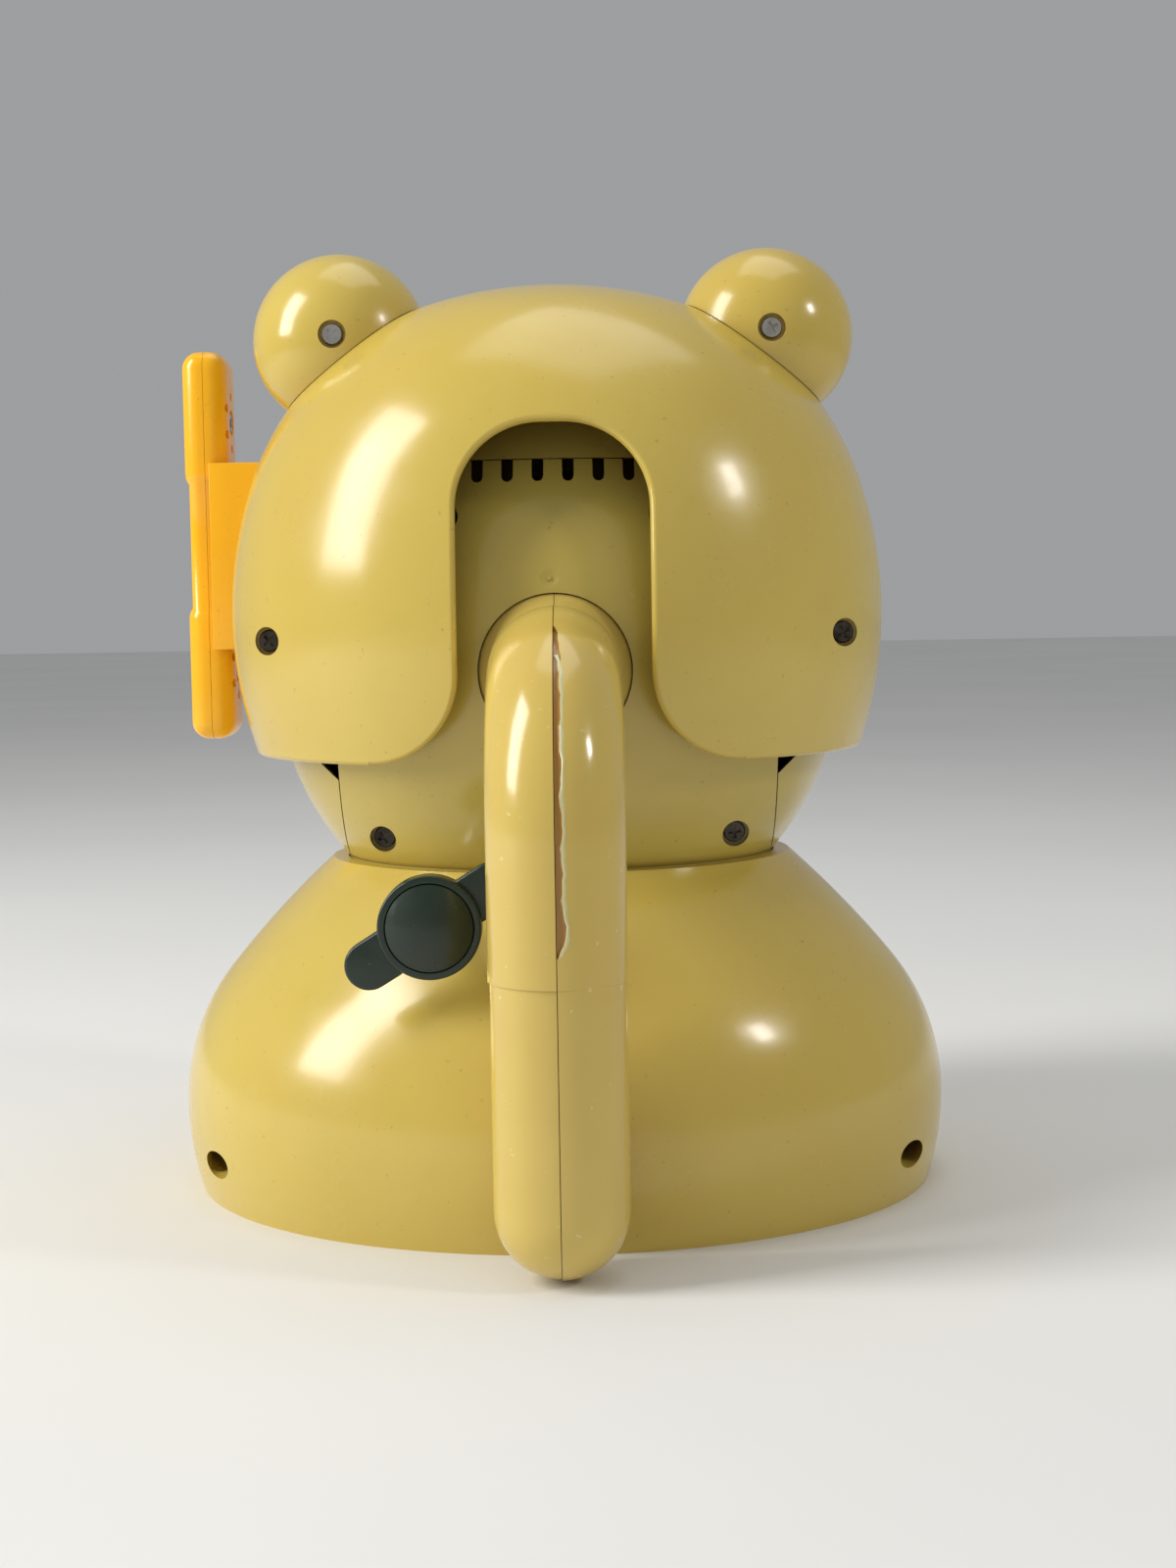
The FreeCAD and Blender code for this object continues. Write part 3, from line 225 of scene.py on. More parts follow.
def ball(name, centre, sizes, steps=96):
    circle = arc((0, 0), 1.0, -90, 90, steps // 2)
    obj = lathe(name, circle, steps=steps)

    def stretched(spot):
        return Vector([spot[axis] / mm * sizes[axis] + centre[axis] for axis in range(3)]) * mm

    return reshape(obj, stretched)


def dress(obj, material, body, nodes, angle=32):
    obj.data.materials.clear()
    obj.data.materials.append(material)
    obj.data.shade_smooth()
    obj.data.set_sharp_from_angle(angle=math.radians(angle))
    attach(obj, body)
    if nodes:
        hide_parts(*nodes)
    return obj


# materials


def wire(tree, kind, values=None, links=None):
    item = tree.nodes.new(kind)
    for name, value in (values or {}).items():
        item.inputs[name].default_value = value
    for name, source in (links or {}).items():
        tree.links.new(source, item.inputs[name])
    return item


def noise(tree, coords, scale, detail=3.0):
    values = {"Scale": scale, "Detail": detail}
    return wire(tree, "ShaderNodeTexNoise", values, {"Vector": coords}).outputs["Fac"]


def span(tree, value, low, high, newLow=0.0, newHigh=1.0):
    limits = {"From Min": low, "From Max": high, "To Min": newLow, "To Max": newHigh}
    return wire(tree, "ShaderNodeMapRange", limits, {"Value": value}).outputs["Result"]


def blendColours(tree, factor, first, second):
    item = tree.nodes.new("ShaderNodeMix")
    item.data_type = "RGBA"
    tree.links.new(factor, item.inputs["Factor"])
    for socket, colour in (("A", first), ("B", second)):
        target = [entry for entry in item.inputs if entry.name == socket and entry.type == "RGBA"][0]
        if isinstance(colour, tuple):
            target.default_value = (*colour, 1.0)
        else:
            tree.links.new(colour, target)
    return [entry for entry in item.outputs if entry.type == "RGBA"][0]


def startMaterial(name):
    material = bpy.data.materials.new(name)
    material.use_nodes = True
    tree = material.node_tree
    tree.nodes.clear()
    coords = tree.nodes.new("ShaderNodeTexCoord").outputs["Object"]
    shader = tree.nodes.new("ShaderNodeBsdfPrincipled")
    output = tree.nodes.new("ShaderNodeOutputMaterial")
    tree.links.new(shader.outputs["BSDF"], output.inputs["Surface"])
    return material, tree, coords, shader


def addBump(tree, shader, height, strength, distance):
    item = wire(tree, "ShaderNodeBump", {"Strength": strength, "Distance": distance * mm}, {"Height": height})
    tree.links.new(item.outputs["Normal"], shader.inputs["Normal"])


def plastic(name, light, deep, speck, gloss=0.2, speckAmount=0.35, speckScale=700.0, bump=0.05):
    material, tree, coords, shader = startMaterial(name)
    broad = span(tree, noise(tree, coords, 11.0), 0.35, 0.68)
    colour = blendColours(tree, broad, light, deep)
    mottle = span(tree, noise(tree, coords, 70.0, 5.0), 0.5, 0.75, 0.0, 0.3)
    colour = blendColours(tree, mottle, colour, deep)
    dots = span(tree, noise(tree, coords, speckScale, 2.0), 0.7, 0.76, 0.0, speckAmount)
    colour = blendColours(tree, dots, colour, speck)
    tree.links.new(colour, shader.inputs["Base Color"])
    wear = noise(tree, coords, 45.0, 6.0)
    tree.links.new(span(tree, wear, 0.35, 0.7, gloss * 0.8, gloss * 1.5), shader.inputs["Roughness"])
    shader.inputs["Coat Weight"].default_value = 0.25
    shader.inputs["Coat Roughness"].default_value = 0.12
    addBump(tree, shader, noise(tree, coords, 160.0, 4.0), bump, 0.6)
    return material


def metal(name, light, deep, rough):
    material, tree, coords, shader = startMaterial(name)
    worn = span(tree, noise(tree, coords, 320.0, 5.0), 0.4, 0.7)
    tree.links.new(blendColours(tree, worn, light, deep), shader.inputs["Base Color"])
    tree.links.new(span(tree, worn, 0.0, 1.0, rough * 0.7, rough * 1.4), shader.inputs["Roughness"])
    shader.inputs["Metallic"].default_value = 1.0
    addBump(tree, shader, noise(tree, coords, 1500.0, 2.0), 0.1, 0.1)
    return material


cream = plastic("creamPlastic", (0.64, 0.485, 0.10), (0.59, 0.425, 0.078), (0.24, 0.15, 0.05))
# greener cream for the inner head, which yellowed less; it is also darker than the shell cream as painted shade for
# its place under the arch
headCreamPaintedShade = plastic("headCreamPaintedShade", (0.56, 0.44, 0.095), (0.51, 0.385, 0.075), (0.22, 0.15, 0.05))
leverCream = plastic("leverCream", (0.67, 0.50, 0.125), (0.60, 0.42, 0.085), (0.80, 0.68, 0.36),
                     gloss=0.17, speckAmount=0.5, speckScale=420.0, bump=0.08)
orange = plastic("orangePlastic", (0.98, 0.51, 0.002), (0.94, 0.45, 0.002), (0.55, 0.18, 0.0), gloss=0.22)
green = plastic("greenPlastic", (0.004, 0.019, 0.008), (0.003, 0.012, 0.006), (0.07, 0.10, 0.07),
                gloss=0.34, speckAmount=0.5, speckScale=1100.0, bump=0.3)
dark = plastic("darkPlastic", (0.03, 0.02, 0.015), (0.018, 0.012, 0.009), (0.1, 0.07, 0.05), gloss=0.12)
white = plastic("dialWhite", (0.78, 0.72, 0.55), (0.72, 0.64, 0.44), (0.4, 0.3, 0.15))
dialOrange = plastic("dialOrange", (0.92, 0.42, 0.01), (0.86, 0.36, 0.006), (0.4, 0.12, 0.0))
ink = plastic("dialInk", (0.04, 0.03, 0.025), (0.03, 0.025, 0.02), (0.12, 0.1, 0.08), gloss=0.4)
# amber fill for the seam groove: the glue's own colour, darkened as painted shade of the recess
amberWithPaintedShade = plastic("seamAmberWithPaintedShade", (0.46, 0.24, 0.045), (0.34, 0.16, 0.03), (0.22, 0.1, 0.02), gloss=0.2, bump=0.3)
# whitish-green dried glue: the pale colour is a painted highlight along the glue ridge's crest
glueWithPaintedHighlight = plastic("driedGlueWithPaintedHighlight", (0.68, 0.68, 0.40), (0.62, 0.56, 0.28), (0.82, 0.86, 0.68), gloss=0.1, bump=0.4)
steel = metal("steel", (0.62, 0.60, 0.55), (0.40, 0.37, 0.32), 0.3)
# very dark steel for the screws deep in their recesses: the darkness is painted shade of the recess
recessShadeSteel = metal("recessShadeSteel", (0.09, 0.08, 0.065), (0.045, 0.04, 0.03), 0.45)
brass = metal("brass", (0.72, 0.53, 0.22), (0.5, 0.34, 0.12), 0.3)
print("materials ready")

# node groups for what repeats


def startGroup(name, sockets):
    group = bpy.data.node_groups.new(name, "GeometryNodeTree")
    group.interface.new_socket("Geometry", in_out="INPUT", socket_type="NodeSocketGeometry")
    for label, kind in sockets:
        group.interface.new_socket(label, in_out="INPUT", socket_type="NodeSocket" + kind)
    group.interface.new_socket("Geometry", in_out="OUTPUT", socket_type="NodeSocketGeometry")
    given = group.nodes.new("NodeGroupInput").outputs
    result = group.nodes.new("NodeGroupOutput").inputs["Geometry"]
    return group, given, result


def sums(tree, operation, first, second):
    item = tree.nodes.new("ShaderNodeMath")
    item.operation = operation
    for socket, value in zip(item.inputs, (first, second)):
        if isinstance(value, (int, float)):
            socket.default_value = value
        else:
            tree.links.new(value, socket)
    return item.outputs[0]


def flow(tree, kind, links, values=None):
    return wire(tree, "GeometryNode" + kind, values, links).outputs[0]


def trio(tree, **parts):
    links = {axis.upper(): value for axis, value in parts.items()}
    return wire(tree, "ShaderNodeCombineXYZ", None, links).outputs[0]


def moved(tree, geometry, shift):
    return flow(tree, "Transform", {"Geometry": geometry, "Translation": shift})


def ringSpots(tree, given, geometry):
    index = tree.nodes.new("GeometryNodeInputIndex").outputs[0]
    angle = sums(tree, "ADD", given["First"], sums(tree, "MULTIPLY", index, given["Step"]))
    x = sums(tree, "MULTIPLY", given["Circle"], sums(tree, "COSINE", angle, 0.0))
    y = sums(tree, "MULTIPLY", given["Circle"], sums(tree, "SINE", angle, 0.0))
    spots = {"Geometry": geometry, "Position": trio(tree, x=x, y=y)}
    return flow(tree, "SetPosition", spots)


def endGroup(tree, instances, material, result):
    real = flow(tree, "RealizeInstances", {"Geometry": instances})
    painted = flow(tree, "SetMaterial", {"Geometry": real, "Material": material})
    tree.links.new(painted, result)


def runGroup(obj, group, values):
    modifier = obj.modifiers.new(group.name, "NODES")
    modifier.node_group = group
    for item in group.interface.items_tree:
        if item.in_out == "INPUT" and item.name in values:
            modifier[item.identifier] = values[item.name]
    return bake(obj)


def screwGroup():
    labels = ("Head Radius", "Head Height", "Shank Radius", "Shank Length", "Cross Width")
    sizes = [(label, "Float") for label in labels]
    group, given, result = startGroup("crossScrews", sizes + [("Turn", "Vector"), ("Material", "Material")])
    radius, height = given["Head Radius"], given["Head Height"]
    topRadius = sums(group, "MULTIPLY", radius, 0.86)
    headSizes = {"Radius Bottom": radius, "Radius Top": topRadius, "Depth": height}
    head = flow(group, "MeshCone", headSizes, {"Vertices": 40})
    length = sums(group, "MULTIPLY", radius, 1.15)
    bars = []
    width = given["Cross Width"]
    for x, y in ((length, width), (width, length)):
        size = trio(group, x=x, y=y, z=height)
        bar = flow(group, "MeshCube", {"Size": size})
        bars.append(moved(group, bar, trio(group, z=height)))
    crossed = group.nodes.new("GeometryNodeMeshBoolean")
    crossed.operation = "DIFFERENCE"
    crossed.solver = "EXACT"
    group.links.new(head, crossed.inputs["Mesh 1"])
    for bar in bars:
        group.links.new(bar, crossed.inputs["Mesh 2"])
    shankSizes = {"Radius": given["Shank Radius"], "Depth": given["Shank Length"]}
    shank = flow(group, "MeshCylinder", shankSizes, {"Vertices": 24})
    drop = trio(group, z=sums(group, "MULTIPLY", given["Shank Length"], -0.5))
    shank = moved(group, shank, drop)
    whole = group.nodes.new("GeometryNodeJoinGeometry")
    group.links.new(crossed.outputs["Mesh"], whole.inputs[0])
    group.links.new(shank, whole.inputs[0])
    places = {"Points": given["Geometry"], "Instance": whole.outputs[0], "Rotation": given["Turn"]}
    instances = flow(group, "InstanceOnPoints", places)
    chance = group.nodes.new("FunctionNodeRandomValue")
    chance.inputs["Seed"].default_value = 7
    spin = trio(group, z=chance.outputs[1])
    turned = {"Instances": instances, "Rotation": spin}
    instances = flow(group, "RotateInstances", turned)
    endGroup(group, instances, given["Material"], result)
    return group


def rodRingGroup():
    sizes = [(label, "Float") for label in ("Circle", "Rod Radius", "Rod Length", "First", "Step")]
    group, given, result = startGroup("rodRing", [("Count", "Int")] + sizes + [("Material", "Material")])
    line = flow(group, "MeshLine", {"Count": given["Count"]})
    line = ringSpots(group, given, line)
    rodSizes = {"Radius": given["Rod Radius"], "Depth": given["Rod Length"]}
    pin = flow(group, "MeshCylinder", rodSizes, {"Vertices": 40})
    row = {"Points": line, "Instance": pin}
    instances = flow(group, "InstanceOnPoints", row)
    endGroup(group, instances, given["Material"], result)
    return group


def slotRowGroup():
    sizes = [(label, "Float") for label in ("Pitch", "Width", "Height", "Run")]
    group, given, result = startGroup("slotRow", [("Count", "Int")] + sizes + [("Material", "Material")])
    less = sums(group, "SUBTRACT", given["Count"], 1.0)
    start = trio(group, x=sums(group, "MULTIPLY", sums(group, "MULTIPLY", less, -0.5), given["Pitch"]))
    steps = {"Count": given["Count"], "Start Location": start, "Offset": trio(group, x=given["Pitch"])}
    line = flow(group, "MeshLine", steps)
    size = trio(group, x=given["Width"], y=given["Run"], z=given["Height"])
    bar = flow(group, "MeshCube", {"Size": size})
    lift = trio(group, z=sums(group, "MULTIPLY", given["Height"], 0.5))
    bar = moved(group, bar, lift)
    footSizes = {"Radius": sums(group, "MULTIPLY", given["Width"], 0.49), "Depth": given["Run"]}
    foot = flow(group, "MeshCylinder", footSizes, {"Vertices": 40})
    turn = {"Rotation": (math.pi / 2, 0.0, 0.0)}
    foot = flow(group, "Transform", {"Geometry": foot}, turn)
    union = group.nodes.new("GeometryNodeMeshBoolean")
    union.operation = "UNION"
    union.solver = "EXACT"
    for part in (bar, foot):
        group.links.new(part, union.inputs["Mesh 2"])
    row = {"Points": line, "Instance": union.outputs["Mesh"]}
    instances = flow(group, "InstanceOnPoints", row)
    endGroup(group, instances, given["Material"], result)
    return group


def numberGroup():
    sizes = [(label, "Float") for label in ("Circle", "Text Size", "First", "Step", "Thickness")]
    sockets = [("Digits", "String")] + sizes + [("Material", "Material")]
    group, given, result = startGroup("numberRing", sockets)
    letters = {"String": given["Digits"], "Size": given["Text Size"]}
    text = wire(group, "GeometryNodeStringToCurves", None, letters)
    text.align_x = "CENTER"
    text.align_y = "MIDDLE"
    text.pivot_mode = "MIDPOINT"
    curves = ringSpots(group, given, text.outputs["Curve Instances"])
    flat = flow(group, "FillCurve", {"Curve": curves})
    flat = flow(group, "RealizeInstances", {"Geometry": flat})
    raised = wire(group, "GeometryNodeExtrudeMesh", None, {"Mesh": flat, "Offset Scale": given["Thickness"]})
    raised.inputs["Individual"].default_value = False
    under = flow(group, "FlipFaces", {"Mesh": flat})
    closed = group.nodes.new("GeometryNodeJoinGeometry")
    for part in (raised.outputs["Mesh"], under):
        group.links.new(part, closed.inputs[0])
    endGroup(group, closed.outputs[0], given["Material"], result)
    return group


crossScrews = screwGroup()
rodRing = rodRingGroup()
slotRow = slotRowGroup()
print("node groups ready")


def pointObject(name, places):
    return newObject(name, places, [])


screwHead = {"Head Radius": 2.7, "Head Height": 1.9, "Shank Radius": 1.5, "Cross Width": 0.75}
screwSeat = {"recessRadius": 3.35, "bossRadius": 5.25, "floor": 2.0}


def screws(node, places, length, turn, finish, body="phone"):
    values = {label: size * mm for label, size in screwHead.items()}
    values.update({"Shank Length": length * mm, "Turn": turn, "Material": finish})
    obj = runGroup(pointObject(node.replace("_", "-"), places), crossScrews, values)
    return dress(obj, finish, body, [node], angle=25)


towardsBack = (math.pi / 2, 0.0, 0.0)
towardsHead = (0.0, math.pi / 2, 0.0)


def recess(x, z, floor):
    return rod((x, -far, z), (x, -floor, z), screwSeat["recessRadius"])


def screwTower(x, z, floor, dome):
    tower = rod((x, -far, z), (x, screwSeat["floor"] - floor, z), screwSeat["bossRadius"])
    return keep(tower, dome)


# body

body = {
    "halfWidth": 95.2,
    "depthShare": 84.0 / 95.2,
    "widest": 21.0,
    "footRadius": 70.5,
    "bellyRadius": 52.4,
    "bellySweep": 39.0,
    "shoulderRadius": 238.0,
    "top": 81.5,
    "wall": 2.5,
    "neckRadius": 53.7,
    "seamTurn": 0.07,
    "screwX": 83.0,
    "screwZ": 11.4,
    "screwFloor": 13.0,
    "screwLength": 14.0,
}


def bodySide(inset):
    footCentre = (body["halfWidth"] - body["footRadius"], body["widest"])
    bellyCentre = (body["halfWidth"] - body["bellyRadius"], body["widest"])
    sweep = math.radians(body["bellySweep"])
    step = body["bellyRadius"] - body["shoulderRadius"]
    shoulderCentre = (bellyCentre[0] + step * math.cos(sweep), bellyCentre[1] + step * math.sin(sweep))
    footRadius = body["footRadius"] - inset
    shoulderRadius = body["shoulderRadius"] - inset
    footAngle = -math.degrees(math.asin(body["widest"] / footRadius))
    topAngle = math.degrees(math.asin((body["top"] - inset - shoulderCentre[1]) / shoulderRadius))
    points = arc(footCentre, footRadius, footAngle, 0, 12)
    points += arc(bellyCentre, body["bellyRadius"] - inset, 0, body["bellySweep"], 22)[1:]
    points += arc(shoulderCentre, shoulderRadius, body["bellySweep"], topAngle, 24)[1:]
    return points


def bodyDome():
    outline = bodySide(0)
    return lathe("dome", outline + [(0, outline[-1][1]), (0, outline[0][1])], share=body["depthShare"])


def bodyHalf(name, start):
    outline = bodySide(0)
    outline += [(body["neckRadius"], body["top"]), (body["neckRadius"], body["top"] - body["wall"])]
    outline += bodySide(body["wall"])[::-1]
    gap = body["seamTurn"]
    return lathe(name, outline, start + gap, 180 - 2 * gap, body["depthShare"], 120)


bodyBack = bodyHalf("bodyBack", 180)
sides = (-body["screwX"], body["screwX"])
bodyBack = add(bodyBack, *[screwTower(x, body["screwZ"], body["screwFloor"], bodyDome()) for x in sides])
keyPlace = {"x": -28.5, "z": 73.0, "hole": 2.9, "holeEnd": -20}
keyX, keyZ = keyPlace["x"], keyPlace["z"]
keyHole = rod((keyX, -far, keyZ), (keyX, keyPlace["holeEnd"], keyZ), keyPlace["hole"])
cut(bodyBack, keyHole, *[recess(x, body["screwZ"], body["screwFloor"]) for x in sides])
dress(bodyBack, cream, "phone", ["body_back"])
seats = [(x, -body["screwFloor"], body["screwZ"]) for x in sides]
screws("body_screws", seats, body["screwLength"], towardsBack, recessShadeSteel)
print("body ready")

# inner head: a ball with a screwed panel at the back

innerHead = {
    "halfWidth": 71.0,
    "depthShare": 62.0 / 71.0,
    "centreZ": 128.6,
    "wall": 2.5,
    "foot": 81.65,
    "neckBottom": 77.0,
    "neckLap": 0.05,
    "panelHalf": 52.0,
    "panelTop": 177.0,
    "gap": 0.25,
    "upperScrew": (25.2, 164.0),
    "lowerScrew": (42.0, 88.5),
    "recessDepth": 7.0,
    "screwLength": 14.0,
    "ventCount": 6,
    "ventPitch": 7.0,
    "ventWidth": 2.7,
    "ventDepth": 5.2,
    "ventHeight": 20.0,
    "ventRun": 60.0,
    "ventY": -55.0,
    "socketRadius": 18.6,
    "cornerFoot": 102.5,
    "cornerTop": 113.0,
    "cornerReach": 12.1,
    "cornerDepth": 12.0,
    "pip": (-1.0, 149.6),
    "pipBall": 5.0,
    "pipDepth": 0.5,
    "pipPin": 0.6,
}
leverPivot = (0.0, -54.0, 128.7)


def innerDepth(x, z):
    square = innerHead["halfWidth"] ** 2 - (z - innerHead["centreZ"]) ** 2 - x * x
    return innerHead["depthShare"] * math.sqrt(square)


def innerBall(name, hollow):
    centre = (0.0, innerHead["centreZ"])
    foot = math.degrees(math.asin((innerHead["foot"] - innerHead["centreZ"]) / innerHead["halfWidth"]))
    outline = arc(centre, innerHead["halfWidth"], foot, 90, 72)
    if hollow:
        inner = innerHead["halfWidth"] - innerHead["wall"]
        innerFoot = math.degrees(math.asin((innerHead["foot"] - innerHead["centreZ"]) / inner))
        outline += arc(centre, inner, innerFoot, 90, 60)[::-1]
    else:
        outline += [(0, innerHead["foot"])]
    return lathe(name, outline, 45, 360, innerHead["depthShare"], 200)


def panelBlock(margin):
    half = innerHead["panelHalf"] + margin
    return block((-half, -far, 0), (half, margin, innerHead["panelTop"] + margin))


def neckRing():
    top = innerHead["foot"] + innerHead["neckLap"]
    outer = math.sqrt(innerHead["halfWidth"] ** 2 - (innerHead["foot"] - innerHead["centreZ"]) ** 2)
    inner = outer - innerHead["wall"]
    bottom = innerHead["neckBottom"]
    outline = [(outer, bottom), (outer, top), (inner, top), (inner, bottom)]
    return lathe("neck", outline, share=innerHead["depthShare"])


def cornerCutter(side):
    edge = innerHead["panelHalf"]
    low, high = innerHead["cornerFoot"], innerHead["cornerTop"]
    line = [(side * edge, low), (side * (edge + innerHead["cornerReach"]), high), (side * edge, high)]
    return prism("corner", line, -far, -innerHead["cornerDepth"])


innerFront = innerBall("innerHeadFront", True)
cut(innerFront, panelBlock(innerHead["gap"]), cornerCutter(-1), cornerCutter(1))
innerFront = join("innerHeadFront", [innerFront, neckRing()])
dress(innerFront, headCreamPaintedShade, "phone", ["inner_head_front"])

panelScrews = []
for side in (-1, 1):
    for x, z in (innerHead["upperScrew"], innerHead["lowerScrew"]):
        panelScrews.append((side * x, z, innerDepth(x, z) - innerHead["recessDepth"]))
panel = keep(innerBall("innerHeadPanel", True), panelBlock(0))
towers = [screwTower(x, z, floor, innerBall("dome", False)) for x, z, floor in panelScrews]
panel = add(panel, *towers)
ventFoot = innerHead["panelTop"] - innerHead["ventDepth"] + innerHead["ventWidth"] / 2
vents = {
    "Count": innerHead["ventCount"],
    "Pitch": innerHead["ventPitch"] * mm,
    "Width": innerHead["ventWidth"] * mm,
    "Height": innerHead["ventHeight"] * mm,
    "Run": innerHead["ventRun"] * mm,
    "Material": cream,
}
ventRow = runGroup(pointObject("vents", []), slotRow, vents)
reshape(ventRow, lambda spot: spot + Vector((0, innerHead["ventY"], ventFoot)) * mm)
socket = ball("socket", leverPivot, [innerHead["socketRadius"]] * 3)
pipX, pipZ = innerHead["pip"]
pipSpot = Vector((pipX, -innerDepth(pipX, pipZ), pipZ))
slope = Vector((pipX, pipSpot.y / innerHead["depthShare"] ** 2, pipZ - innerHead["centreZ"])).normalized()
dimpleLift = innerHead["pipBall"] - innerHead["pipDepth"]
dimple = ball("dimple", pipSpot + slope * dimpleLift, [innerHead["pipBall"]] * 3)
cut(panel, socket, dimple, *[recess(x, z, floor) for x, z, floor in panelScrews])
cut(panel, ventRow)
add(panel, ball("pin", pipSpot - slope * innerHead["pipDepth"], [innerHead["pipPin"]] * 3, 24))
dress(panel, headCreamPaintedShade, "phone", ["inner_head_panel"])
seats = [(x, -floor, z) for x, z, floor in panelScrews]
screws("panel_screws", seats, innerHead["screwLength"], towardsBack, recessShadeSteel)
print("inner head ready")

# head shell with its arch

shell = {
    "halfWidth": 81.0,
    "depthShare": 71.0 / 81.0,
    "centreZ": 141.0,
    "top": 222.0,
    "edge": 107.5,
    "sideRadius": 101.4,
    "cornerRadius": 68.0,
    "crownRadius": 104.0,
    "wall": 2.6,
    "seamTurn": 0.07,
    "archHalf": 22.2,
    "archTop": 185.3,
    "archCorner": 19.5,
    "archFoot": 21.0,
    "edgeRound": 1.0,
    "edgeTuck": 0.4,
    "edgeSink": 0.03,
    "screwX": 68.0,
    "screwZ": 136.0,
    "screwFloor": 32.0,
    "screwLength": 14.0,
}


def shellCentres():
    side = Vector((shell["halfWidth"] - shell["sideRadius"], shell["centreZ"]))
    crown = Vector((0.0, shell["top"] - shell["crownRadius"]))
    sideReach = shell["sideRadius"] - shell["cornerRadius"]
    crownReach = shell["crownRadius"] - shell["cornerRadius"]
    between = side - crown
    along = (crownReach**2 - sideReach**2 + between.length**2) / (2 * between.length)
    across = math.sqrt(crownReach**2 - along**2)
    direction = between.normalized()
    corner = crown + direction * along + Vector((direction.y, -direction.x)) * across
    return side, corner, crown


def bearing(start, end):
    return math.degrees(math.atan2(end.y - start.y, end.x - start.x))


def shellSide(inset, edge):
    side, corner, crown = shellCentres()
    sideRadius = shell["sideRadius"] - inset
    first = math.degrees(math.asin((edge - side.y) / sideRadius))
    second = bearing(side, corner)
    third = bearing(crown, corner)
    points = arc(side, sideRadius, first, second, 36)
    points += arc(corner, shell["cornerRadius"] - inset, second, third, 30)[1:]
    points += arc(crown, shell["crownRadius"] - inset, third, 90, 16)[1:]
    return points


def shellRadius(z):
    side, corner, crown = shellCentres()
    meet = side.y + shell["sideRadius"] * math.sin(math.radians(bearing(side, corner)))
    centre, radius = (side, shell["sideRadius"]) if z < meet else (corner, shell["cornerRadius"])
    return centre.x + math.sqrt(radius**2 - (z - centre.y) ** 2)


def shellSpot(x, z):
    return Vector((x, -shell["depthShare"] * math.sqrt(shellRadius(z) ** 2 - x * x), z))


def shellDome(margin):
    outline = shellSide(-margin, shell["edge"])
    return lathe("dome", outline + [(0, shell["edge"])], 45, 360, shell["depthShare"], 200)


def shellHalf(name, start):
    edge = shell["edge"] + shell["wall"] / 2
    outer = shellSide(0, edge)
    inner = shellSide(shell["wall"], edge)
    lip = arc(((outer[0][0] + inner[0][0]) / 2, edge), (outer[0][0] - inner[0][0]) / 2, 180, 360, 10)
    gap = shell["seamTurn"]
    return lathe(name, outer + inner[::-1] + lip[1:-1], start + gap, 180 - 2 * gap, shell["depthShare"], 140)


def archLine(grow):
    half = shell["archHalf"] + grow
    corner = shell["archCorner"] + grow
    foot = shell["archFoot"] - grow
    top = shell["archTop"] + grow
    edge = shell["edge"] + grow
    points = arc((half + foot, edge + foot), foot, 270, 180, 20)
    points += [(half, edge + foot + (top - corner - edge - foot) * step / 12) for step in range(1, 12)]
    points += arc((half - corner, top - corner), corner, 0, 90, 20)
    return points + [(-x, z) for x, z in points[::-1]]


def archCutter(grow):
    line = archLine(grow)
    return prism("arch", [(line[0][0], 0.0)] + line + [(line[-1][0], 0.0)], -far, 0.0)


def archRim():
    line = archLine(0)
    spots = [shellSpot(x, z) for x, z in line]
    curve, wall = shell["edgeRound"], shell["wall"]
    step = 0.05
    rings = []
    for index, (x, z) in enumerate(line):
        ahead = spots[min(index + 1, len(spots) - 1)] - spots[max(index - 1, 0)]
        across = shellSpot(x + step, z) - shellSpot(x - step, z)
        normal = across.cross(shellSpot(x, z + step) - shellSpot(x, z - step))
        normal.normalize()
        outward = ahead.cross(normal).normalized()
        if outward.x * x > 0 or (abs(x) < shell["archHalf"] / 3 and outward.z > 0):
            outward = -outward
        base = spots[index]
        ring = [(-curve - shell["edgeTuck"], -shell["edgeSink"])]
        turns = [math.pi / 2 * k / 8 for k in range(9)]
        ring += [(curve * (math.sin(turn) - 1), curve * (math.cos(turn) - 1)) for turn in turns]
        low = [(reach, -wall - depth) for reach, depth in ring[::-1]]
        rings.append([base + outward * reach + normal * depth for reach, depth in ring + low])
    return skin("rim", rings)


shellBack = shellHalf("headShellBack", 180)
sides = (-shell["screwX"], shell["screwX"])
towers = [screwTower(x, shell["screwZ"], shell["screwFloor"], shellDome(0)) for x in sides]
shellBack = add(shellBack, *towers)
wells = [recess(x, shell["screwZ"], shell["screwFloor"]) for x in sides]
cut(shellBack, archCutter(shell["edgeRound"]), *wells)
shellBack = join("headShellBack", [shellBack, archRim()])
dress(shellBack, cream, "phone", ["head_shell_back"])
seats = [(x, -shell["screwFloor"], shell["screwZ"]) for x in sides]
screws("shell_screws", seats, shell["screwLength"], towardsBack, recessShadeSteel)
shellFront = shellHalf("headShellFront", 0)
dress(shellFront, cream, "phone", ["head_shell_front"])
print("head shell ready")

# ears

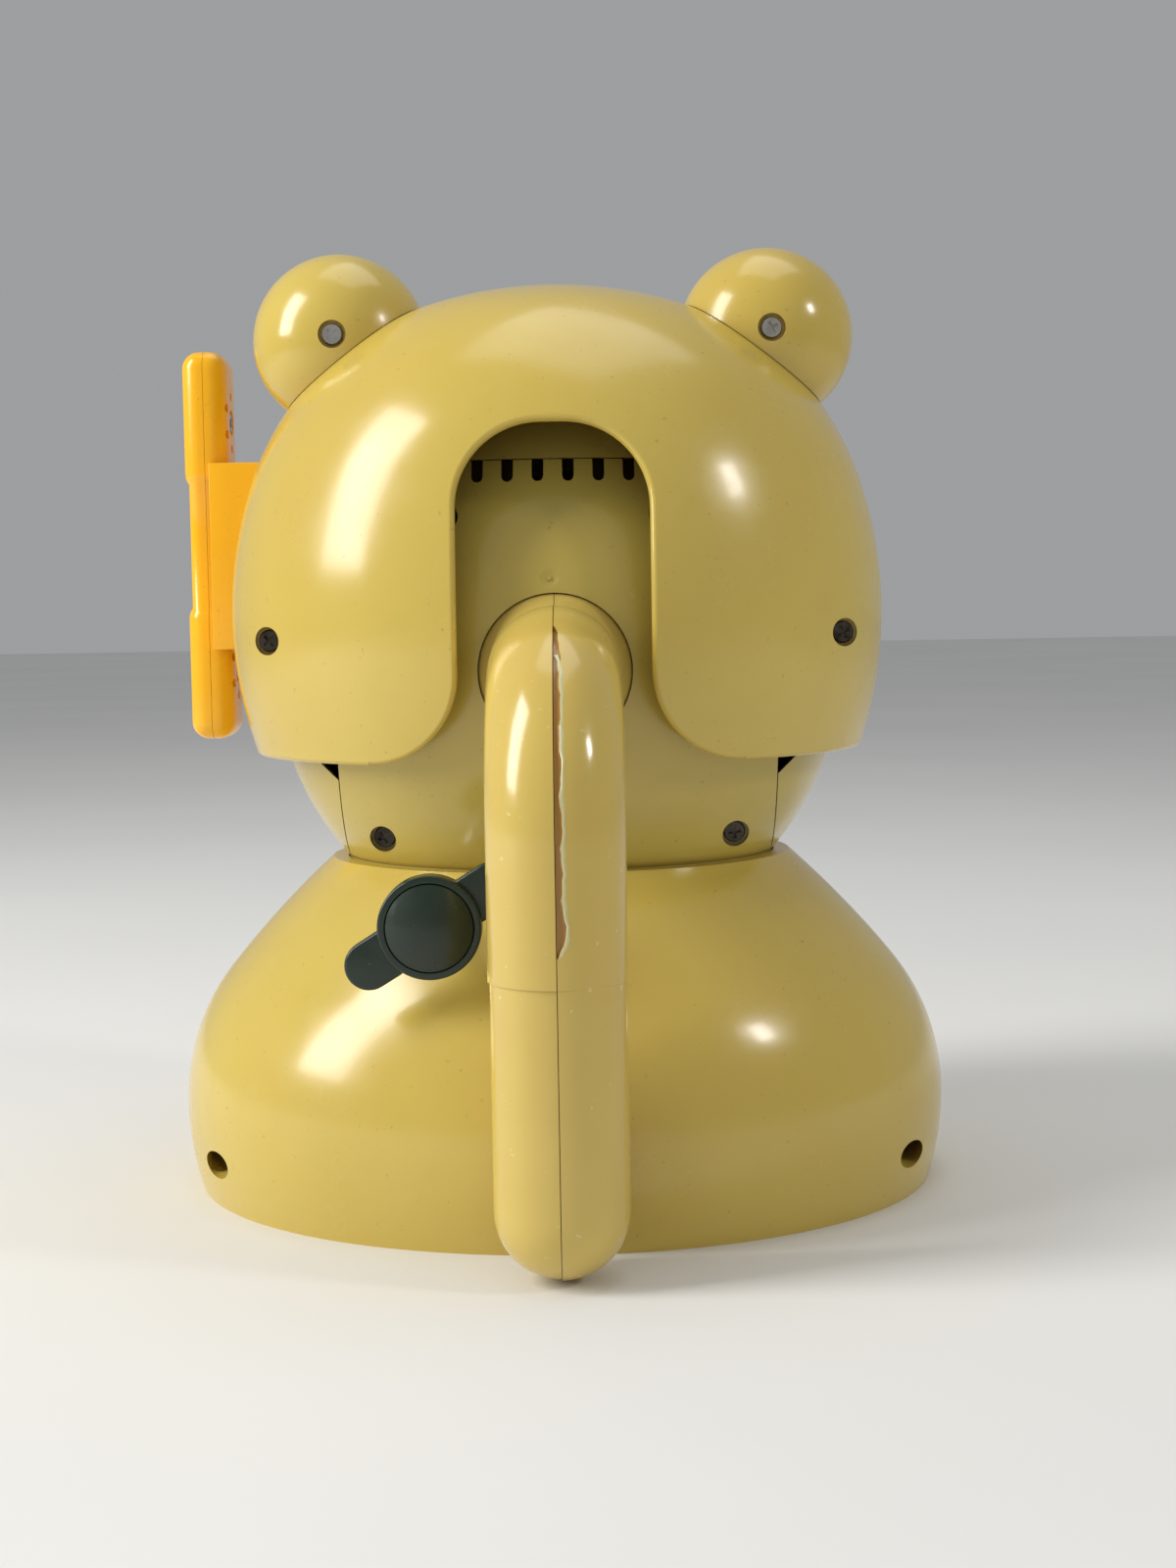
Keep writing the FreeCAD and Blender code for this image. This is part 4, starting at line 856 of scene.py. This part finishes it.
ears = {
    "radius": 21.6,
    "x": 52.8,
    "z": 209.0,
    "recessDepth": 2.6,
    "seatGap": 0.15,
    "seam": 0.06,
    "screwLength": 26.0,
}
for sideName, side in (("left", -1), ("right", 1)):
    centre = (side * ears["x"], 0.0, ears["z"])
    for halfName, direction in (("back", -1), ("front", 1)):
        half = ball("ear" + sideName.title() + halfName.title(), centre, [ears["radius"]] * 3, 128)
        half = keep(half, halfSpace(1, direction, direction * ears["seam"]))
        cut(half, shellDome(ears["seatGap"]))
        if direction < 0:
            cut(half, recess(centre[0], centre[2], ears["radius"] - ears["recessDepth"]))
        dress(half, cream, "phone", ["ear_" + sideName + "_" + halfName])
seats = [(side * ears["x"], ears["recessDepth"] - ears["radius"], ears["z"]) for side in (-1, 1)]
screws("ear_screws", seats, ears["screwLength"], towardsBack, steel)
print("ears ready")

# tail lever: two moulded halves, a ragged glued groove beside the seam

lever = {
    "ballRadius": 18.2,
    "tubeRadius": 14.9,
    "neckRun": 13.0,
    "bendRadius": 33.0,
    "tipZ": 15.4,
    "seam": 0.07,
    "fingerLow": (0.2, 12.0, 3.7),
    "fingerHigh": (2.5, 20.4, 6.7),
    "stepZ": 65.0,
    "stepRun": 0.25,
    "stepDrop": {-1: 0.4, 1: 0.12},
}
seamGroove = {
    "startAngle": 23.0,
    "beadAngle": 36.0,
    "endZ": 71.0,
    "width": 1.7,
    "depth": 1.1,
    "fillDepth": 0.5,
    "ridgeWidth": 0.8,
    "crest": 14.88,
    "dripZ": 76.0,
    "dripRun": 4.0,
    "dripGrow": 0.4,
    "ends": (0.25, 0.6, 0.85),
    "overlap": 0.1,
    "cutAbove": 1,
    "cutTaper": 0.9,
    "fillEdge": 0.08,
    "fillRoot": 0.3,
    "fillSag": 0.15,
    "fillRise": 0.1,
    "crestLift": 0.16,
    "crestEdge": 0.2,
    "ridgeRoot": 0.6,
}


def leverPath():
    x, y, z = leverPivot
    bendY = y - lever["neckRun"]
    bendZ = z - lever["bendRadius"]
    dropY = bendY - lever["bendRadius"]
    stations = []
    for step in range(5):
        stations.append((Vector((0, y - lever["neckRun"] * step / 4, z)), 0.0))
    for step in range(1, 41):
        angle = math.pi / 2 * step / 40
        outY = bendY - lever["bendRadius"] * math.sin(angle)
        outZ = bendZ + lever["bendRadius"] * math.cos(angle)
        stations.append((Vector((0, outY, outZ)), angle))
    heights = [bendZ + (lever["tipZ"] - bendZ) * step / 60 for step in range(1, 61)]
    heights += [lever["stepZ"], lever["stepZ"] - lever["stepRun"]]
    stations += [(Vector((0, dropY, height)), math.pi / 2) for height in sorted(heights, reverse=True)]
    return stations


def leverSection(station, across, out):
    place, angle = station
    outward = Vector((0, -math.sin(angle), math.cos(angle)))
    return place + outward * out + Vector((across, 0, 0))


def leverTube(side):
    rings = []
    stations = leverPath()
    turns = [math.pi * k / 32 for k in range(33)]

    def ring(station, radius):
        inner = lever["seam"] * 1.3
        spots = [(max(radius * math.sin(turn), inner), radius * math.cos(turn)) for turn in turns]
        return [leverSection(station, side * across, out) for across, out in spots]

    low = lever["tubeRadius"] - lever["stepDrop"][side]
    for station in stations:
        rings.append(ring(station, low if station[0].z < lever["stepZ"] else lever["tubeRadius"]))
    for step in range(1, 17):
        angle = math.pi / 2 * step / 16.2
        place = stations[-1][0] - Vector((0, 0, low * math.sin(angle)))
        rings.append(ring((place, math.pi / 2), low * math.cos(angle)))
    return skin("tube", rings)


def ragged(value, seed):
    waves = ((0.9, 1.0, 0.5), (2.3, 2.1, 0.3), (5.1, 1.0, 0.2))
    return sum(share * math.sin(value * speed + seed * shift) for speed, shift, share in waves)


def grooveStations(firstAngle):
    first = math.radians(firstAngle)
    rows = []
    for index, station in enumerate(leverPath()):
        place, angle = station
        if angle > first and place.z > seamGroove["endZ"]:
            near = (place.z - seamGroove["dripZ"]) / seamGroove["dripRun"]
            drip = seamGroove["dripGrow"] * math.exp(-near * near) if angle > 1.5 else 0.0
            width = seamGroove["width"] * (0.85 + 0.25 * ragged(index, 1.0) + drip)
            rows.append([station, width])
    for near, share in enumerate(seamGroove["ends"]):
        rows[near][1] *= share
        rows[-1 - near][1] *= share
    return rows


def tubeOut(across):
    return math.sqrt(lever["tubeRadius"] ** 2 - across**2)


def grooveCutter():
    deep = lever["tubeRadius"] - seamGroove["depth"]
    high = lever["tubeRadius"] + seamGroove["cutAbove"]
    inner = -seamGroove["overlap"]
    rings = []
    for station, width in grooveStations(seamGroove["startAngle"]):
        shape = [(inner, deep), (inner, high), (width, high), (width * seamGroove["cutTaper"], deep)]
        rings.append([leverSection(station, *spot) for spot in shape])
    return skin("groove", rings)


def grooveFill():
    deep = lever["tubeRadius"] - seamGroove["depth"]
    top = lever["tubeRadius"] - seamGroove["fillDepth"]
    root = deep - seamGroove["fillRoot"]
    edge = seamGroove["fillEdge"]
    rings = []
    for station, width in grooveStations(seamGroove["startAngle"] + 2):
        shape = [(edge, root), (edge, top), (width * 0.5, top - seamGroove["fillSag"])]
        shape += [(width, top + seamGroove["fillRise"]), (width, root)]
        rings.append([leverSection(station, *spot) for spot in shape])
    return skin("leverSeamFill", rings)


def glueRidge():
    rings = []
    for index, (station, width) in enumerate(grooveStations(seamGroove["beadAngle"])):
        run = seamGroove["ridgeWidth"] * (0.9 + 0.35 * ragged(index, 4.0))
        crest = min(seamGroove["crest"], tubeOut(width) + seamGroove["crestLift"])
        low = tubeOut(width + run)
        root = low - seamGroove["ridgeRoot"]
        near = width - seamGroove["overlap"]
        shape = [(near, root), (near, crest - seamGroove["crestEdge"]), (width + run * 0.25, crest)]
        shape += [(width + run * 0.55, crest - 0.03), (width + run, low - 0.02), (width + run, root)]
        rings.append([leverSection(station, *spot) for spot in shape])
    return skin("leverGlueRidge", rings)


def leverHalf(name, side):
    half = ball(name, leverPivot, [lever["ballRadius"]] * 3, 112)
    half = add(keep(half, halfSpace(0, side, side * lever["seam"])), leverTube(side))
    xs = sorted((lever["fingerLow"][0] * side, lever["fingerHigh"][0] * side))
    low = [xs[0], leverPivot[1] + lever["fingerLow"][1], leverPivot[2] + lever["fingerLow"][2]]
    high = [xs[1], leverPivot[1] + lever["fingerHigh"][1], leverPivot[2] + lever["fingerHigh"][2]]
    return add(half, block(low, high))


leverLeft = leverHalf("leverHalfLeft", -1)
dress(leverLeft, leverCream, "lever", ["lever_half_left"])
leverRight = cut(leverHalf("leverHalfRight", 1), grooveCutter())
dress(leverRight, leverCream, "lever", ["lever_half_right"])
# the groove fill is darkened with painted shade of the recess
dress(grooveFill(), amberWithPaintedShade, "lever", [])
# the glue ridge's whitish colour is a painted highlight
dress(glueRidge(), glueWithPaintedHighlight, "lever", [])
print("tail lever ready")

# winding key

key = {
    "wingBack": -72.2,
    "wingThick": 3.4,
    "wingRadius": 5.5,
    "wingReach": 16.2,
    "wingAngle": 212.0,
    "discRadius": 11.6,
    "rimTop": 5.8,
    "domeRadius": 9.7,
    "domeHeight": 2.6,
    "groove": 0.4,
    "grooveOut": 0.35,
    "grooveIn": 0.1,
    "edgeRound": 0.6,
    "backRound": 0.3,
    "wingRound": 0.7,
}


def facingBack(obj, x, y, z):
    return reshape(obj, lambda spot: Vector((spot.x + x * mm, y * mm - spot.z, spot.y + z * mm)))


def keyDisc():
    radius, top, curve = key["discRadius"], key["rimTop"], key["edgeRound"]
    dome = key["domeRadius"]
    outline = [(0, 0), (radius - key["backRound"], 0), (radius, key["backRound"])]
    outline += arc((radius - curve, top - curve), curve, 0, 90, 5)
    outline += [(dome + key["grooveOut"], top), (dome + key["grooveIn"], top - key["groove"]), (dome, top)]
    outline += capArc(dome, key["domeHeight"], top)[1:]
    return lathe("winding", outline, steps=96)


def keyWings():
    shape = []
    for turn in (0, 180):
        angle = key["wingAngle"] + turn
        turned = math.radians(angle)
        centre = (key["wingReach"] * math.cos(turned), key["wingReach"] * math.sin(turned))
        shape += arc(centre, key["wingRadius"], angle - 90, angle + 90, 16)
    wings = skin("wings", [[(x, y, z) for x, y in shape] for z in (0.0, key["wingThick"])])
    return bevel(wings, key["wingRound"])


windingKey = facingBack(add(keyDisc(), keyWings()), keyX, key["wingBack"], keyZ)
windingKey.name = "windingKey"
dress(windingKey, green, "key", ["winding_key"])
print("key ready")

# handset and bracket

handset = {
    "outerX": -96.7,
    "thick": 11.6,
    "y": 30.0,
    "top": 210.0,
    "bottom": 109.5,
    "lobeHalfHeight": 18.0,
    "lobeHalfDepth": 9.5,
    "lobeRound": 4.5,
    "gripHalf": 9.0,
    "gripStep": 1.1,
    "gripThick": 8.0,
    "gripRound": 3.0,
    "seam": 0.05,
    "holeCount": 6,
    "holeCircle": 6.8,
    "holeRadius": 1.2,
    "holeOut": 3,
    "recessDepth": 2.0,
    "screwLength": 6.0,
}
lobeHeights = [handset["top"] - handset["lobeHalfHeight"], handset["bottom"] + handset["lobeHalfHeight"]]
headFace = handset["outerX"] + handset["thick"]
wellFloor = headFace - handset["recessDepth"]


def facingHead(obj, x, y, z):
    return reshape(obj, lambda spot: Vector((x * mm + spot.z, y * mm + spot.x, z * mm + spot.y)))


def lobe(z):
    low = (handset["outerX"], handset["y"] - handset["lobeHalfDepth"], z - handset["lobeHalfHeight"])
    high = (headFace, handset["y"] + handset["lobeHalfDepth"], z + handset["lobeHalfHeight"])
    return bevel(block(low, high), handset["lobeRound"], 8)


def handsetSolid(name):
    lowX = handset["outerX"] + handset["gripStep"]
    low = (lowX, handset["y"] - handset["gripHalf"], lobeHeights[1])
    high = (lowX + handset["gripThick"], handset["y"] + handset["gripHalf"], lobeHeights[0])
    grip = bevel(block(low, high), handset["gripRound"], 6)
    grip.name = name
    return add(grip, *[lobe(z) for z in lobeHeights])


splitX = handset["outerX"] + handset["thick"] / 2
outerHalf = keep(handsetSolid("handsetOuterHalf"), halfSpace(0, -1, splitX - handset["seam"]))
dress(outerHalf, orange, "handset", ["handset_outer_half"])
innerHalf = keep(handsetSolid("handsetInnerHalf"), halfSpace(0, 1, splitX + handset["seam"]))
for z in lobeHeights:
    holes = {
        "Count": handset["holeCount"],
        "Circle": handset["holeCircle"] * mm,
        "Rod Radius": handset["holeRadius"] * mm,
        "Rod Length": handset["thick"] * mm,
        "First": math.pi / handset["holeCount"],
        "Step": 2 * math.pi / handset["holeCount"],
        "Material": orange,
    }
    ring = runGroup(pointObject("sound", []), rodRing, holes)
    facingHead(ring, headFace + handset["holeOut"], handset["y"], z)
    well = rod((wellFloor, handset["y"], z), (0, handset["y"], z), screwSeat["recessRadius"])
    cut(innerHalf, ring, well)
dress(innerHalf, orange, "handset", ["handset_inner_half"])
seats = [(wellFloor, handset["y"], z) for z in lobeHeights]
screws("handset_screws", seats, handset["screwLength"], towardsHead, steel, "handset")

bracket = {
    "low": 133.0,
    "high": 181.0,
    "faceGap": 0.6,
    "jawGap": 0.35,
    "jawThick": 2.6,
    "jawReach": 2.5,
    "jawRoot": 1,
    "tongueHalf": 11.0,
    "tongueLap": 0.5,
    "edgeRound": 0.7,
    "seatGap": 0.15,
}


def bracketSolid():
    lobeFace = headFace + bracket["faceGap"]
    gripFace = handset["outerX"] + handset["gripStep"] + handset["gripThick"] + bracket["faceGap"]
    y = handset["y"]
    middle = (bracket["low"] + bracket["high"]) / 2
    inner = handset["lobeHalfDepth"] + bracket["jawGap"]
    outer = inner + bracket["jawThick"]
    tip = gripFace - bracket["jawReach"]
    foot = block((lobeFace, y - outer, bracket["low"]), (0, y + outer, bracket["high"]))
    tongueLow = (gripFace, y - inner - bracket["tongueLap"], middle - bracket["tongueHalf"])
    tongue = block(tongueLow, (0, y + inner + bracket["tongueLap"], middle + bracket["tongueHalf"]))
    jaws = []
    for near, away in ((-outer, -inner), (inner, outer)):
        jawEnd = (lobeFace + bracket["jawRoot"], y + away, bracket["high"])
        jaws.append(block((tip, y + near, bracket["low"]), jawEnd))
    return bevel(add(foot, tongue, *jaws), bracket["edgeRound"])


holder = cut(bracketSolid(), shellDome(bracket["seatGap"]))
holder.name = "handsetBracket"
dress(holder, orange, "phone", ["handset_bracket"])
print("handset ready")

# face

face = {
    "muzzle": ((0.0, 58.0, 131.0), (31.0, 26.0, 23.0)),
    "nose": ((0.0, 80.0, 143.0), (10.5, 6.0, 7.5)),
    "eyeX": 27.0,
    "eyeZ": 163.0,
    "eyeRadius": 7.0,
    "eyeSink": 2.0,
    "seatGap": 0.15,
}
muzzle = cut(ball("faceMuzzle", *face["muzzle"], 128), shellDome(face["seatGap"]))
dress(muzzle, cream, "phone", ["muzzle"])
centre, sizes = face["muzzle"]
seat = ball("seat", centre, [size + face["seatGap"] for size in sizes], 128)
nose = cut(ball("faceNose", *face["nose"], 96), seat)
dress(nose, dark, "phone", ["nose"])
for sideName, side in (("left", -1), ("right", 1)):
    depth = -shellSpot(face["eyeX"], face["eyeZ"]).y - face["eyeSink"]
    eye = ball("eye" + sideName.title(), (side * face["eyeX"], depth, face["eyeZ"]), [face["eyeRadius"]] * 3)
    cut(eye, shellDome(face["seatGap"]))
    dress(eye, dark, "phone", ["eye_" + sideName])
print("face ready")

# front of the body and the finger dial

dial = {
    "tilt": 24.0,
    "y": 82.1,
    "z": 45.4,
    "padRadius": 27.0,
    "padLength": 17.0,
    "padRound": 1,
    "plateRadius": 25.6,
    "plateThick": 2.0,
    "rimWidth": 2.0,
    "rimHeight": 2.4,
    "rimRound": 0.5,
    "wheelRadius": 21.6,
    "wheelLow": 3.0,
    "wheelThick": 2.0,
    "wheelRound": 0.6,
    "holeCount": 10,
    "holeStep": 30.0,
    "holeFirst": 75.0,
    "holeRadius": 3.5,
    "holeCircle": 15.4,
    "capRadius": 7.5,
    "capHeight": 2.8,
    "spindleRadius": 2.05,
    "textSize": 4.6,
    "textThick": 0.12,
}


def onDial(obj, lift=0.0):
    turn = math.radians(dial["tilt"] - 90)

    def tilted(spot):
        height = spot.z + lift * mm
        forward = spot.y * math.cos(turn) - height * math.sin(turn)
        upward = spot.y * math.sin(turn) + height * math.cos(turn)
        return Vector((spot.x, forward + dial["y"] * mm, upward + dial["z"] * mm))

    return reshape(obj, tilted)


curve = dial["padRound"]
outline = [(0, -dial["padLength"]), (dial["padRadius"], -dial["padLength"])]
outline += arc((dial["padRadius"] - curve, -curve), curve, 0, 90, 5) + [(0, 0)]
pad = onDial(lathe("pad", outline, steps=120))
bodyFront = add(bodyHalf("bodyFront", 0), pad)
dress(bodyFront, cream, "phone", ["body_front"])

rim = dial["plateThick"] + dial["rimHeight"]
inner = dial["plateRadius"] - dial["rimWidth"]
outline = [(dial["spindleRadius"], 0), (dial["plateRadius"], 0)]
curve = dial["rimRound"]
outline += arc((dial["plateRadius"] - curve, rim - curve), curve, 0, 90, 4)
outline += arc((inner + curve, rim - curve), curve, 90, 180, 4)
outline += [(inner, dial["plateThick"]), (dial["spindleRadius"], dial["plateThick"])]
plate = onDial(lathe("dialNumberPlate", outline, steps=120))
dress(plate, white, "phone", ["dial_number_plate"])
digits = {
    "Digits": "1234567890",
    "Circle": dial["holeCircle"] * mm,
    "Text Size": dial["textSize"] * mm,
    "First": math.radians(dial["holeFirst"]),
    "Step": math.radians(dial["holeStep"]),
    "Thickness": dial["textThick"] * mm,
    "Material": ink,
}
numbers = onDial(runGroup(pointObject("dialNumbers", []), numberGroup(), digits), dial["plateThick"])
dress(numbers, ink, "phone", [])

top = dial["wheelLow"] + dial["wheelThick"]
outline = [(dial["spindleRadius"], dial["wheelLow"]), (dial["wheelRadius"], dial["wheelLow"])]
curve = dial["wheelRound"]
outline += arc((dial["wheelRadius"] - curve, top - curve), curve, 0, 90, 5) + [(dial["spindleRadius"], top)]
wheel = lathe("dialFingerWheel", outline, steps=120)
holes = {
    "Count": dial["holeCount"],
    "Circle": dial["holeCircle"] * mm,
    "Rod Radius": dial["holeRadius"] * mm,
    "Rod Length": far * mm,
    "First": math.radians(dial["holeFirst"]),
    "Step": math.radians(dial["holeStep"]),
    "Material": dialOrange,
}
wheel = onDial(cut(wheel, runGroup(pointObject("fingers", []), rodRing, holes)))
dress(wheel, dialOrange, "dial", ["dial_finger_wheel"])
outline = [(0, top)] + capArc(dial["capRadius"], dial["capHeight"], top)
cap = onDial(lathe("dialCentreCap", outline, steps=72))
dress(cap, dialOrange, "dial", ["dial_centre_cap"])
print("dial ready")

# what stays as the frame has it gets its finish here

finishes = {"cream_plastic": cream, "orange_plastic": orange, "dark_plastic": dark, "green_plastic": green,
            "dial_white": white, "dial_orange": dialOrange, "steel": steel, "brass": brass}
slots = {entry["node"]: entry["material_slot"] for entry in frame["record"]["subparts"]}
for name, obj in frame["nodes"].items():
    obj.data.materials.clear()
    obj.data.materials.append(finishes[slots[name]])
print("frame pieces painted")

# floor, light and camera

floorHalf = 6000.0
corners = [(x * floorHalf, y * floorHalf, 0) for x, y in ((-1, -1), (1, -1), (1, 1), (-1, 1))]
floor = newObject("floor", corners, [(0, 1, 2, 3)])
material, tree, coords, shader = startMaterial("paleFloor")
cloud = span(tree, noise(tree, coords, 3.0), 0.3, 0.7)
tree.links.new(blendColours(tree, cloud, (0.84, 0.84, 0.82), (0.80, 0.80, 0.79)), shader.inputs["Base Color"])
shader.inputs["Roughness"].default_value = 0.7
floor.data.materials.append(material)
floor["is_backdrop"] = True


def softbox(name, place, target, size, watts, colour):
    light = bpy.data.lights.new(name, "AREA")
    light.shape = "RECTANGLE"
    light.size, light.size_y = size
    light.energy = watts
    light.color = colour
    obj = placed(name, light)
    obj.location = place
    obj.rotation_euler = (Vector(target) - Vector(place)).to_track_quat("-Z", "Y").to_euler()


softbox("windowLight", (-1.05, -0.34, 0.78), (0, 0, 0.12), (0.42, 0.95), 15.0, (1.0, 0.98, 0.94))
softbox("sideLight", (0.95, -0.45, 0.72), (0, 0, 0.12), (0.12, 0.16), 2.2, (1.0, 0.97, 0.94))
softbox("topLight", (0.1, 0.15, 1.3), (0, 0, 0.1), (0.8, 0.8), 3.0, (1.0, 1.0, 1.0))

world = bpy.data.worlds.new("studio")
bpy.context.scene.world = world
world.use_nodes = True
tree = world.node_tree
tree.nodes.clear()
sky = wire(tree, "ShaderNodeBackground", {"Color": (0.34, 0.345, 0.35, 1.0), "Strength": 1.0})
output = tree.nodes.new("ShaderNodeOutputWorld")
tree.links.new(sky.outputs[0], output.inputs["Surface"])

view = {"lens": 53.2, "place": (0.007, -0.584, 0.146), "pitch": 85.3, "roll": -0.9}
camera = placed("camera", bpy.data.cameras.new("camera"))
camera.data.lens = view["lens"]
camera.data.sensor_width = 36.0
camera.data.clip_start = 0.01
camera.rotation_mode = "QUATERNION"
tilt = Vector((1, 0, 0)), math.radians(view["pitch"])
camera.rotation_quaternion = Quaternion(*tilt) @ Quaternion((0, 0, 1), math.radians(view["roll"]))
camera.location = view["place"]
bpy.context.scene.camera = camera
bpy.context.scene.view_settings.view_transform = "Standard"

sizes = {"frame": [list(corner) for corner in startBounds], "dressed": [list(corner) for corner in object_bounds()]}
print("scene ready", sizes)
